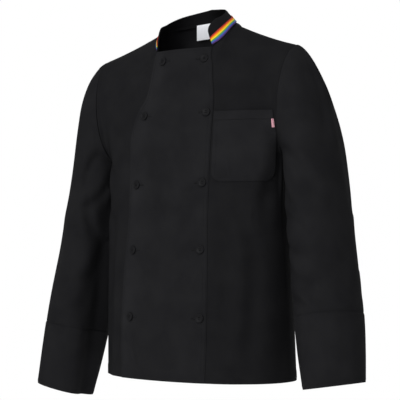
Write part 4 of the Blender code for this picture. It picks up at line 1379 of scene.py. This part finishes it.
class JACKET_OT_collar(JacketPiece, bpy.types.Operator):
    """Makes the stand collar and the striped ribbon along its seam"""

    bl_idname = "jacket.collar"
    bl_label = "Collar and ribbon"

    def make(self, scene):
        cloth = scene.jacket_cloth
        grid = collar_grid(COLLAR_ROWS, COLLAR_COLUMNS)
        normals = grid_normals(grid, (grid - (0, NECK_CENTRE, 0)) * (1, 1, 0))
        edge = rolled(grid, cloth.edge_roll, COLLAR_ROLL, "tlr") * COLLAR_ROLL_SHARE
        # Painted shade: the collar is the same twill darkened outside and inside, with more painted
        # shade towards the top of its inner left side.
        cloth_piece(
            "stand_collar",
            "collar",
            (grid, normals),
            (-edge, cloth.double_wall + edge),
            twill("collar_twill_painted_shade", COLLAR_OUTSIDE_PAINTED_SHADE),
            ["back"],
            held="stretched",
            flat=grid,
            lining=twill("collar_inside_twill_painted_shade", COLLAR_INSIDE_PAINTED_SHADE, collar_inner_face_painted_shade),
        )
        line = grid[-1] - unit(grid[-1] - grid[-2]) * COLLAR_INSET
        out = cloth.double_wall + thread_lift()
        note_line("collar_stitches", line[4:-4], normals[-1][4:-4], out)

        start = cloth.double_wall + LAYER_GAP
        end = start + RIBBON_THICKNESS
        strip = grid[TUCK_ROWS : TUCK_ROWS + COLLAR_ROWS].copy()
        strip[0] += (strip[1] - strip[0]) * min(1, RIBBON_RAISE * (COLLAR_ROWS - 1) / 2)
        facing = normals[TUCK_ROWS + 1 : TUCK_ROWS + COLLAR_ROWS]
        facing = np.concatenate([facing[:1], facing])
        middle = strip + facing * (start + end) / 2
        scene.jacket_trim.ribbon_width = float(steps_of(middle, 0).sum(0).mean())
        cloth_piece(
            "striped_neck_ribbon",
            "collar_ribbon",
            (strip, facing),
            (start, end),
            striped_ribbon(),
            ["collar"],
            slot="rainbow_ribbon",
            held="stretched",
            middle=middle,
        )
        for row, inset in ((0, RIBBON_INSET), (COLLAR_ROWS - 1, -RIBBON_INSET)):
            line = strip[row] + unit(strip[-1] - strip[0]) * inset
            note_line("ribbon_stitches", line[1:-1], facing[row][1:-1], end)


# ---------------------------------------------------------------- sleeves and cuffs
def armhole(side):
    """(points, normals, outward) round an armhole, from the shoulder tip by the front to
    the underarm and up the back."""
    rows = body_ups(1, ARM_HIGH_ROWS)[1:]
    halves = ((-1, rows[::-1]), (1, rows[1:-1]))
    inside = side * (1 - NEAR / 2)
    points = np.concatenate([body(face, side, ups) for face, ups in halves])
    normals = np.concatenate([body_normal(face, inside, ups) for face, ups in halves])
    for place, up in ((0, rows[-1]), (ARM_HIGH_ROWS, rows[0])):
        normals[place] = unit(normals[place] + body_normal(1, inside, up))
    tangent = np.roll(points, -1, 0) - np.roll(points, 1, 0)
    return points, normals, unit(np.cross(tangent, normals)) * -side


def arm_ring(rows, side, height, around):
    """Points and normals of one sleeve section, and the direction down the arm."""
    arm = rows[::-1]

    def centre(at):
        at = np.clip(at, arm[0].height, arm[-1].height)
        return np.stack([side * along(arm, "out", at), along(arm, "fore", at), at], -1)

    down = unit(centre(height - FINE) - centre(height + FINE))
    outward = unit(np.array((side, 0, 0)) - down * (down[..., :1] * side))
    forward = unit(np.cross(down, outward)) * side
    forward = forward * -np.sign(forward[..., 1:2])
    wide = along(arm, "half_width", height)
    deep = along(arm, "half_depth", height)
    out = np.cos(around)[:, None] * outward
    fore = np.sin(around)[:, None] * forward
    return centre(height) + out * wide + fore * deep, unit(out / wide + fore / deep), down


def sleeve_relief(grid, around, folds):
    """The folds of a sleeve or cuff, also read one turn further each way."""
    strength = bpy.context.scene.jacket_cloth.crease_strength
    lines = [
        (math.radians(turn) * FOLD_RADIUS, z, math.radians(end_turn) * FOLD_RADIUS, *rest)
        for turn, z, end_turn, *rest in folds
    ]
    moved = 0
    for turn in (-2 * math.pi, 0, 2 * math.pi):
        place = (around + turn) * FOLD_RADIUS + 0 * grid[..., 2]
        moved = moved + crease_depth(np.stack([place, grid[..., 2]], -1), lines, strength)
    return moved


class JACKET_OT_sleeves(JacketPiece, bpy.types.Operator):
    """Makes the sleeves and their cuffs"""

    bl_idname = "jacket.sleeves"
    bl_label = "Sleeves and cuffs"

    def make(self, scene):
        cloth = scene.jacket_cloth
        self.arm(cloth, "left", LEFT_ARM, 1, LEFT_CAP_PUSH, LEFT_CUFF_SLANT, LEFT_FOLDS)
        self.arm(cloth, "right", RIGHT_ARM, -1, RIGHT_CAP_PUSH, RIGHT_CUFF_SLANT, RIGHT_FOLDS)

    def arm(self, cloth, name, rows, side, push, slant, folds):
        """A sleeve from its armhole to the cuff seam, and the cuff below it."""
        edge, edge_normals, outward = armhole(side)
        around = np.arange(len(edge)) * 2 * math.pi / len(edge)
        first, _, down = arm_ring(rows, side, rows[0].height, around)
        top = np.power(0.5 + 0.5 * np.cos(around), CAP_BREADTH)[:, None]
        start = edge + outward * (SEAM_GAP + UNDERARM_CLEARANCE * (1 - top))
        aside = np.array((side, 0, -CAP_DROOP))
        leave = unit(outward * (CAP_FOLLOW + top) + aside * (1 + CAP_FOLLOW - top))
        chord = np.linalg.norm(first - start, axis=1, keepdims=True)
        leave = leave * np.maximum(chord, UNDERARM_TURN) * push
        reach = down * chord * CAP_FALL
        rings = [between(start, first, leave, reach, step / CAP_ROWS) for step in range(CAP_ROWS)]
        end = rows[-1].height
        length = sum(math.dist(a[:3], b[:3]) for a, b in zip(rows, rows[1:]))
        seam = end + CUFF_LENGTH * (rows[0].height - end) / length
        heights = np.linspace(rows[0].height, seam + SEAM_GAP / 2, ARM_ROWS + 1)
        rings += [arm_ring(rows, side, height, around)[0] for height in heights]
        grid = self.softened(np.array(rings))
        wrapped = np.concatenate([grid[:, -1:], grid, grid[:, :1]], 1)
        centre = grid.mean(axis=1, keepdims=True)
        normals = grid_normals(wrapped, wrapped - centre)[:, 1:-1]
        fade = np.minimum(1, np.linspace(0, len(grid) / CAP_NORMAL_ROWS, len(grid)))[:, None, None]
        normals = unit(edge_normals * (1 - fade) + normals * fade)
        relief = sleeve_relief(grid, around, folds) * ease(edge_distances(grid)[0], *CAP_SMOOTH)
        ends = rolled(grid, cloth.edge_roll, PANEL_ROLL, "bt")
        heights = relief + ends * INNER_SHARE, cloth.wall + relief + ends
        pieces = ["back", "front_" + name]
        names = name + "_sleeve", "sleeve_" + name
        outer = cloth_piece(*names, (grid, normals), heights, twill(), pieces, closed=True)
        self.ring_of_stitches(outer, normals, -1, SLEEVE_INSET)

        heights = np.linspace(seam - SEAM_GAP / 2, end, CUFF_ROWS + 1)
        made = [arm_ring(rows, side, height, around)[:2] for height in heights]
        grid, normals = (np.array(rings) for rings in zip(*made))
        relief = sleeve_relief(grid, around, folds)
        drop, turn = slant
        grid[..., 2] -= drop * np.linspace(0, 1, CUFF_ROWS + 1)[:, None] * np.cos(around - turn)
        ends = rolled(grid, cloth.edge_roll, BAND_ROLL, "bt")
        heights = relief - ends * CUFF_ROLL_SHARE, cloth.double_wall + relief + ends
        # Painted light: the cuffs are the same twill lightened.
        kind = twill("cuff_twill", cloth.cuff_tone)
        names = name + "_cuff", "cuff_" + name
        pieces = ["sleeve_" + name]
        outer = cloth_piece(*names, (grid, normals), heights, kind, pieces, closed=True)
        self.ring_of_stitches(outer, normals, 0, CUFF_TOP_INSET)
        self.ring_of_stitches(outer, normals, -1, CUFF_HEM_INSET)

    def softened(self, grid):
        """Eases the corner where the sleeve head meets the straight arm."""
        low, high = CAP_ROWS // 2, CAP_ROWS + 12
        for _ in range(30):
            mean = (grid[low - 1 : high - 1] + grid[low + 1 : high + 1]) / 2
            grid[low:high] += 0.5 * (mean - grid[low:high])
        return grid

    def ring_of_stitches(self, grid, normals, end, distance):
        """A line of sewing round a sleeve, this far from its first (0) or last (-1) row."""
        order = 1 if end == 0 else -1
        rows, facing = grid[::order], normals[::order]
        lengths = np.append(0, np.cumsum(steps_of(rows, 0).mean(1)))
        place = np.interp(distance, lengths, np.arange(len(rows)))
        low = int(place)
        line = rows[low] * (1 - place + low) + rows[low + 1] * (place - low)
        line, facing = (np.concatenate([ring, ring[:1]]) for ring in (line, facing[low]))
        note_line("cuff_stitches", line, facing, thread_lift())


# ---------------------------------------------------------------- pocket, tag and label
def pocket_bed(distance, height):
    """(points, normals, heights over the form) of the pocket's back on the left front."""
    share, up = front_place(distance, height)
    points = body(-1, share, up)
    wall = bpy.context.scene.jacket_cloth.wall
    bed = left_lift(share, up) + wall + POCKET_CLEARANCE + body_relief(-1, share, points)
    return points, body_normal(-1, share, up), bed


class JACKET_OT_pocket(JacketPiece, bpy.types.Operator):
    """Makes the chest pocket, its turned top band and the plain side tag"""

    bl_idname = "jacket.pocket"
    bl_label = "Pocket and tag"

    def make(self, scene):
        cloth = scene.jacket_cloth
        seam = along(FRONT_EDGES, "joining_seam", (POCKET_TOP + POCKET_BOTTOM) / 2)
        inner_edge = float(seam) + POCKET_INSET
        across, short = self.columns()
        band = POCKET_TOP - POCKET_BAND
        foot = POCKET_BOTTOM + short
        rows = foot + (band - foot) * np.linspace(0, 1, POCKET_ROWS)[:, None]
        hem = np.linspace(band + POCKET_BAND_STEP, POCKET_TOP, BAND_ROWS)[:, None] + 0 * across
        heights = np.concatenate([rows, hem])
        distance = np.broadcast_to(inner_edge + across, heights.shape)
        points, normals, bed = pocket_bed(distance, heights)
        edge = rolled(points, POCKET_ROLL, BAND_ROLL, "blr")
        bow = np.sin(np.pi * np.linspace(0, 1, len(across)))
        bed = bed + POCKET_SLACK * bow * np.linspace(0, 1, len(heights))[:, None] ** 2
        high = bed + cloth.wall + edge
        high[-BAND_ROWS:] += POCKET_BAND_RAISE
        heights = bed + np.maximum(edge, -POCKET_INNER_ROLL), high
        # Painted light: the pocket is the same twill lightened.
        kind = twill("pocket_twill_painted_light", cloth.pocket_painted_light)
        names = "breast_pocket", "chest_pocket"
        outer = cloth_piece(*names, (points, normals), heights, kind, ["front_left"])
        for step in POCKET_SEAMS:
            self.frame_of_stitches(inner_edge, step, band)
        row = POCKET_ROWS - 1
        note_line("pocket_stitches", outer[row][1:-1], normals[row][1:-1], thread_lift())
        self.tag(scene.jacket_trim, distance[0, -1] + 2 * SEAM_GAP)

    def columns(self):
        """The pocket's columns from its inner edge, and how far each ends above the foot."""
        turns = np.linspace(0, math.pi / 2, POCKET_SIDE_POINTS)
        corner = POCKET_CORNER * (1 - np.cos(turns))
        short = POCKET_CORNER * (1 - np.sin(turns))
        ends = POCKET_CORNER, POCKET_WIDTH - POCKET_CORNER
        middle = np.linspace(*ends, POCKET_MIDDLE_POINTS)[1:-1]
        distance = np.concatenate([corner, middle, POCKET_WIDTH - corner[::-1]])
        return distance, np.concatenate([short, 0 * middle, short[::-1]])

    def frame_of_stitches(self, inner_edge, step, band):
        """A line of sewing down both sides and round the foot, this far inside the edge."""
        left = inner_edge + step
        right = inner_edge + POCKET_WIDTH - step
        low = POCKET_BOTTOM + step
        radius = POCKET_CORNER - step
        turns = np.linspace(0, math.pi / 2, 10)
        side = np.linspace(POCKET_TOP - FINE, low + radius, 24)[:-1]
        foot = np.linspace(left + radius, right - radius, 20)[1:-1]
        near, far = radius * (1 - np.cos(turns)), radius * (1 - np.sin(turns))
        distances = left + 0 * side, left + near, foot, right - far, right + 0 * side
        heights = side, low + far, low + 0 * foot, low + near, side[::-1]
        distance, height = np.concatenate(distances), np.concatenate(heights)
        points, normals, bed = pocket_bed(distance, height)
        across = (distance - inner_edge) / POCKET_WIDTH
        climb = (height - POCKET_BOTTOM) / (POCKET_TOP - POCKET_BOTTOM)
        out = bed + bpy.context.scene.jacket_cloth.wall + POCKET_BAND_RAISE * (height > band)
        out = out + POCKET_SLACK * np.sin(np.pi * across) * climb**2
        out = out - POCKET_ROLL * math.exp(-((step / BAND_ROLL) ** 2))
        note_line("pocket_stitches", points + normals * out[:, None], normals, thread_lift())

    def tag(self, trim, right):
        """The tag is a strip folded in two, whose fold stands out of the side seam."""
        out = np.linspace(0, TAG_LENGTH, 8)
        turn = np.linspace(-math.pi / 2, math.pi / 2, 7)[1:-1]
        reach = np.concatenate([out, TAG_LENGTH + TAG_FOLD * np.cos(turn), out[::-1]])
        layer = TAG_FOLD * np.concatenate([-1 + 0 * out, np.sin(turn), 1 + 0 * out])
        heights = np.linspace(TAG_BOTTOM, TAG_TOP, 12)[:, None]
        distance, heights = np.broadcast_arrays(right + reach * TAG_TURN, heights)
        points, normals, bed = pocket_bed(distance, heights)
        lift = bed + TAG_FOLD + layer + trim.tag_lift * ease(reach / TAG_LENGTH, -0.1, 1.4)
        middle = points + normals * lift[..., None]
        facing = grid_normals(middle, normals * np.where(layer > 0, 1, -1)[:, None])
        dark, light = tinted(trim.tag_colour, 0.92), tinted(trim.tag_colour, 1.08)
        cloth_piece(
            "side_tag",
            "pocket_tag",
            (middle, facing),
            (-TAG_THICKNESS / 2, TAG_THICKNESS / 2),
            woven("pale_tag_cloth", dark, light, 0.0006, 0.0001, 0.7, gloss=0.2),
            ["chest_pocket"],
            slot="pink_tag",
            held="folded",
        )


class JACKET_OT_label(JacketPiece, bpy.types.Operator):
    """Makes the blank label inside the nape"""

    bl_idname = "jacket.label"
    bl_label = "Neck label"

    def make(self, scene):
        colour = scene.jacket_trim.label_colour
        run = np.linalg.norm(np.diff(body(1, np.array((0, NEAR)), 1.0), axis=0)) / NEAR
        half = LABEL_WIDTH / 2 / run
        across = LABEL_CENTRE_SHARE + np.linspace(-half, half, LABEL_POINTS)
        top = body(1, across, 1 - SEAM_GAP) - body_normal(1, across, 1 - NEAR) * LAYER_GAP
        inward = unit(-top * (1, 1, 0))
        fall = np.linspace(1, 0, LABEL_POINTS)[:, None, None]
        bow = np.cos(np.linspace(-math.pi / 2, math.pi / 2, LABEL_POINTS))[:, None]
        out = LABEL_CLEARANCE + LABEL_BOW * bow * fall - LABEL_SWING * fall**1.3
        middle = top + inward * out + np.array((0, 0, -LABEL_HEIGHT)) * fall
        facing = grid_normals(middle, 0 * middle - inward)
        dark, light = tinted(colour, 0.95), tinted(colour, 1.03)
        cloth_piece(
            "blank_label",
            "neck_label",
            (middle, facing),
            (-LABEL_THICKNESS / 2, LABEL_THICKNESS / 2),
            woven("plain_label_satin", dark, light, 0.0005, 0.00008, 0.55, gloss=0.25),
            ["back"],
            slot="white_label",
        )


# ---------------------------------------------------------------- buttons and topstitching
def mesh_of(name, shape):
    """A new mesh with the geometry of a bmesh, which is freed."""
    mesh = bpy.data.meshes.new(name)
    shape.to_mesh(mesh)
    shape.free()
    return mesh


def placed(axes, place):
    """The matrix that turns the three axes to these and moves the origin to this place."""
    matrix = np.eye(4)
    matrix[:3] = np.stack([*axes, place], 1)
    return Matrix(matrix.tolist())


def button_shape():
    """One four-hole button, its back at the origin and its face towards +Z."""
    profile = (
        (BUTTON_RADIUS, 0.0),
        (0.0012, 0.0),
        (0.0004, 0.0005),
        (0.0, 0.0014),
        (0.0001, 0.0022),
        (0.0006, 0.0029),
        (0.0013, BUTTON_THICKNESS),
        (0.0020, BUTTON_THICKNESS - 0.0001),
        (0.0027, BUTTON_THICKNESS - 0.0007),
        (0.0038, BUTTON_THICKNESS - 0.0010),
        (BUTTON_RADIUS, BUTTON_THICKNESS - 0.0011),
    )
    shape = bmesh.new()
    points = [shape.verts.new((BUTTON_RADIUS - inset, 0, height)) for inset, height in profile]
    edges = [shape.edges.new(pair) for pair in zip(points, points[1:])]
    spin = {"axis": (0, 0, 1), "cent": (0, 0, 0), "angle": 2 * math.pi, "steps": 40}
    bmesh.ops.spin(shape, geom=points + edges, **spin)
    bmesh.ops.remove_doubles(shape, verts=shape.verts, dist=1e-6)
    bmesh.ops.recalc_face_normals(shape, faces=shape.faces)
    mesh = mesh_of("button_shape", shape)
    disc = add_object("button_disc", mesh)
    drill = bmesh.new()
    cone = {"radius1": HOLE_RADIUS, "radius2": HOLE_RADIUS, "depth": 3 * BUTTON_THICKNESS}
    for x in (-HOLE_OFFSET, HOLE_OFFSET):
        for y in (-HOLE_OFFSET, HOLE_OFFSET):
            place = Matrix.Translation((x, y, BUTTON_THICKNESS / 2))
            bmesh.ops.create_cone(drill, cap_ends=True, segments=14, matrix=place, **cone)
    cutter = add_object("button_cutter", mesh_of("button_holes", drill))
    cut = disc.modifiers.new("Holes", "BOOLEAN")
    cut.operation = "DIFFERENCE"
    cut.solver = "EXACT"
    cut.object = cutter
    graph = bpy.context.evaluated_depsgraph_get()
    result = bpy.data.meshes.new_from_object(disc.evaluated_get(graph))
    for helper in (disc, cutter):
        bpy.data.objects.remove(helper, do_unlink=True)
    if len(result.polygons) <= len(mesh.polygons):
        raise RuntimeError("the button's holes weren't cut")
    return result


class JACKET_OT_buttons(JacketPiece, bpy.types.Operator):
    """Makes the buttons, the thread through their holes and the buttonholes"""

    bl_idname = "jacket.buttons"
    bl_label = "Buttons and buttonholes"

    def make(self, scene):
        cloth = scene.jacket_cloth
        shape = button_shape()
        resin = button_resin()
        face = cloth.wall + LAYER_GAP + cloth.double_wall
        threads, holes = [], []
        for number, row in enumerate(BUTTON_ROWS, 1):
            for side, distance in (("left", row.left), ("right", -row.right)):
                turn = math.radians(((number * 37 + len(side) * 23) % 50) - 25)
                seat = self.seat(distance, row.height, face, turn)
                self.sew_on(f"{side}_{number}", shape, resin, seat)
                threads += self.strands(seat)
                holes.append(self.buttonhole(scene.jacket_sewing, distance, row.height, face))
        length = 2 * HOLE_OFFSET
        stitched("button_thread", threads, length, length, BUTTON_THREAD_RADIUS)
        sewing = scene.jacket_sewing
        size = sewing.buttonhole_pitch, sewing.buttonhole_width, BUTTONHOLE_THREAD_RADIUS
        stitched("buttonhole_stitches", holes, *size, crosswise=True)

    def seat(self, distance, height, face, turn):
        """(across, above, normal, base) of a button that is turned on the lap's face."""
        share, up = front_place(distance, height)
        normal = body_normal(-1, share, up)
        base = on_body(-1, share[None], up[None], face + LAYER_GAP)[0]
        sideways = unit(np.cross((0, 0, 1), normal))
        across = sideways * math.cos(turn) + np.cross(normal, sideways) * math.sin(turn)
        return across, np.cross(normal, across), normal, base

    def sew_on(self, name, shape, resin, seat):
        """Puts one button on the lap."""
        mesh = shape.copy()
        mesh.name = "resin_button_" + name
        mesh.transform(placed(seat[:3], seat[3]))
        mesh.shade_smooth()
        mesh.set_sharp_from_angle(angle=SHARP_BUTTON)
        mesh.materials.clear()
        mesh.materials.append(resin)
        made = add_object(mesh.name, mesh)
        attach(made, "root")
        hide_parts("button_" + name)

    def strands(self, seat):
        """Short lines, each for one strand of thread between two holes."""
        across, above, normal, base = seat
        top = base + normal * (BUTTON_THICKNESS - BUTTON_DISH)
        lines = []
        for offset in (-HOLE_OFFSET, HOLE_OFFSET):
            for strand in (-STRAND_STEP, 0.0, STRAND_STEP):
                middle = top + above * (offset + strand)
                line = [middle - across * SHORT_LINE, middle + across * SHORT_LINE]
                lines.append((np.stack(line), np.stack([normal, normal])))
        return lines

    def buttonhole(self, sewing, distance, height, face):
        """The sewn slot runs from beside its button towards the lap's centre and past it."""
        inward = -1 if distance > 0 else 1
        start = distance - inward * BUTTONHOLE_START
        places = np.linspace(start, start + inward * sewing.buttonhole_length, 9)
        share, up = front_place(places, height)
        return on_body(-1, share, up, face + BUTTONHOLE_LIFT), body_normal(-1, share, up)


class JACKET_OT_sewing(JacketPiece, bpy.types.Operator):
    """Lays the stitches along every line of sewing that the pieces have noted"""

    bl_idname = "jacket.sewing"
    bl_label = "Topstitching"

    def make(self, scene):
        sewing = scene.jacket_sewing
        if not SEWING:
            raise RuntimeError("make the jacket's pieces before its topstitching")
        for name, lines in sorted(SEWING.items()):
            stitched(name, lines, sewing.pitch, sewing.stitch_length, sewing.thread_radius)
        SEWING.clear()


# ---------------------------------------------------------------- stage
def area_light(name, place, target_height, size, power):
    data = bpy.data.lights.new(name, "AREA")
    data.shape = "DISK"
    data.size = size
    data.energy = power
    away = unit(np.array(place) - (0, 0, target_height))
    right = unit(np.cross((0, 0, 1), away))
    add_object(name, data).matrix_world = placed((right, np.cross(away, right), away), place)


class JACKET_OT_stage(JacketPiece, bpy.types.Operator):
    """Makes the camera, the pale floor and the studio light"""

    bl_idname = "jacket.stage"
    bl_label = "Camera, floor and light"

    def make(self, scene):
        stage = scene.jacket_stage
        toward = np.array((math.sin(stage.azimuth), -math.cos(stage.azimuth), 0))
        ahead = -toward * math.cos(stage.pitch) + np.array((0, 0, math.sin(stage.pitch)))
        right = np.array((math.cos(stage.azimuth), math.sin(stage.azimuth), 0))
        upward = np.cross(right, ahead)
        turned_right = right * math.cos(stage.roll) - upward * math.sin(stage.roll)
        turned_up = upward * math.cos(stage.roll) + right * math.sin(stage.roll)
        place = toward * stage.distance + np.array((0, 0, stage.height))
        data = bpy.data.cameras.new("jacket_camera")
        data.lens = stage.lens
        data.sensor_width = 36
        scene.camera = add_object("jacket_camera", data)
        scene.camera.matrix_world = placed((turned_right, turned_up, -ahead), place)

        world = bpy.data.worlds.new("white_studio")
        world.use_nodes = True
        tree = world.node_tree
        seen = add(tree, "ShaderNodeLightPath")["Is Camera Ray"]
        strength = maths(tree, "ADD", maths(tree, "MULTIPLY", seen, 1 - stage.room), stage.room)
        fill(tree.nodes["Background"], {"Color": (1, 1, 1, 1), "Strength": strength})
        scene.world = world
        scene.view_settings.view_transform = "Standard"

        circle = bmesh.new()
        bmesh.ops.create_circle(circle, cap_ends=True, segments=96, radius=stage.floor_radius)
        mesh = mesh_of("studio_floor", circle)
        mesh.transform(Matrix.Translation((0, 0, stage.floor_height)))
        pale = {"Base Color": (0.9, 0.9, 0.9, 1), "Roughness": 0.8}
        mesh.materials.append(painted("pale_floor", lambda tree, place: pale))
        add_object("studio_floor", mesh)
        area_light("key_light", (0.42, -3.3, 0.7), -0.4, 2.0, stage.key)
        area_light("top_light", (0.3, -1.9, 2.0), -0.1, 1.0, stage.top)
        area_light("back_light", (-1.6, 3.2, 1.2), -0.4, 2.0, stage.back)
        area_light("fill_light", (2.2, -2.4, 0.1), -0.4, 2.0, stage.fill)


# ---------------------------------------------------------------- panel and registration
class JACKET_PT_panel(bpy.types.Panel):
    """Lists the jacket's settings and pieces"""

    bl_idname = "JACKET_PT_panel"
    bl_label = "Chef jacket"
    bl_space_type = "VIEW_3D"
    bl_region_type = "UI"
    bl_category = "Jacket"

    def draw(self, context):
        for group in GROUPS:
            settings = getattr(context.scene, group)
            box = self.layout.box()
            for name in settings.__annotations__:
                box.prop(settings, name)
        for operator in OPERATORS:
            self.layout.operator(operator.bl_idname)


OPERATORS = (
    JACKET_OT_stage,
    JACKET_OT_back,
    JACKET_OT_fronts,
    JACKET_OT_collar,
    JACKET_OT_sleeves,
    JACKET_OT_pocket,
    JACKET_OT_label,
    JACKET_OT_buttons,
    JACKET_OT_sewing,
)
GROUPS = {
    "jacket_cloth": JacketCloth,
    "jacket_sewing": JacketSewing,
    "jacket_trim": JacketTrim,
    "jacket_stage": JacketStage,
}


def register():
    for name, group in GROUPS.items():
        bpy.utils.register_class(group)
        setattr(bpy.types.Scene, name, bpy.props.PointerProperty(type=group))
    for operator in OPERATORS:
        bpy.utils.register_class(operator)
    bpy.utils.register_class(JACKET_PT_panel)


def unregister():
    bpy.utils.unregister_class(JACKET_PT_panel)
    for operator in reversed(OPERATORS):
        bpy.utils.unregister_class(operator)
    for name, group in GROUPS.items():
        delattr(bpy.types.Scene, name)
        bpy.utils.unregister_class(group)


def main():
    register()
    bpy.ops.jacket.stage()
    bpy.ops.jacket.back()
    bpy.ops.jacket.fronts()
    bpy.ops.jacket.collar()
    bpy.ops.jacket.sleeves()
    bpy.ops.jacket.pocket()
    bpy.ops.jacket.label()
    bpy.ops.jacket.buttons()
    bpy.ops.jacket.sewing()
    bpy.context.view_layer.update()


if __name__ == "__main__":
    main()
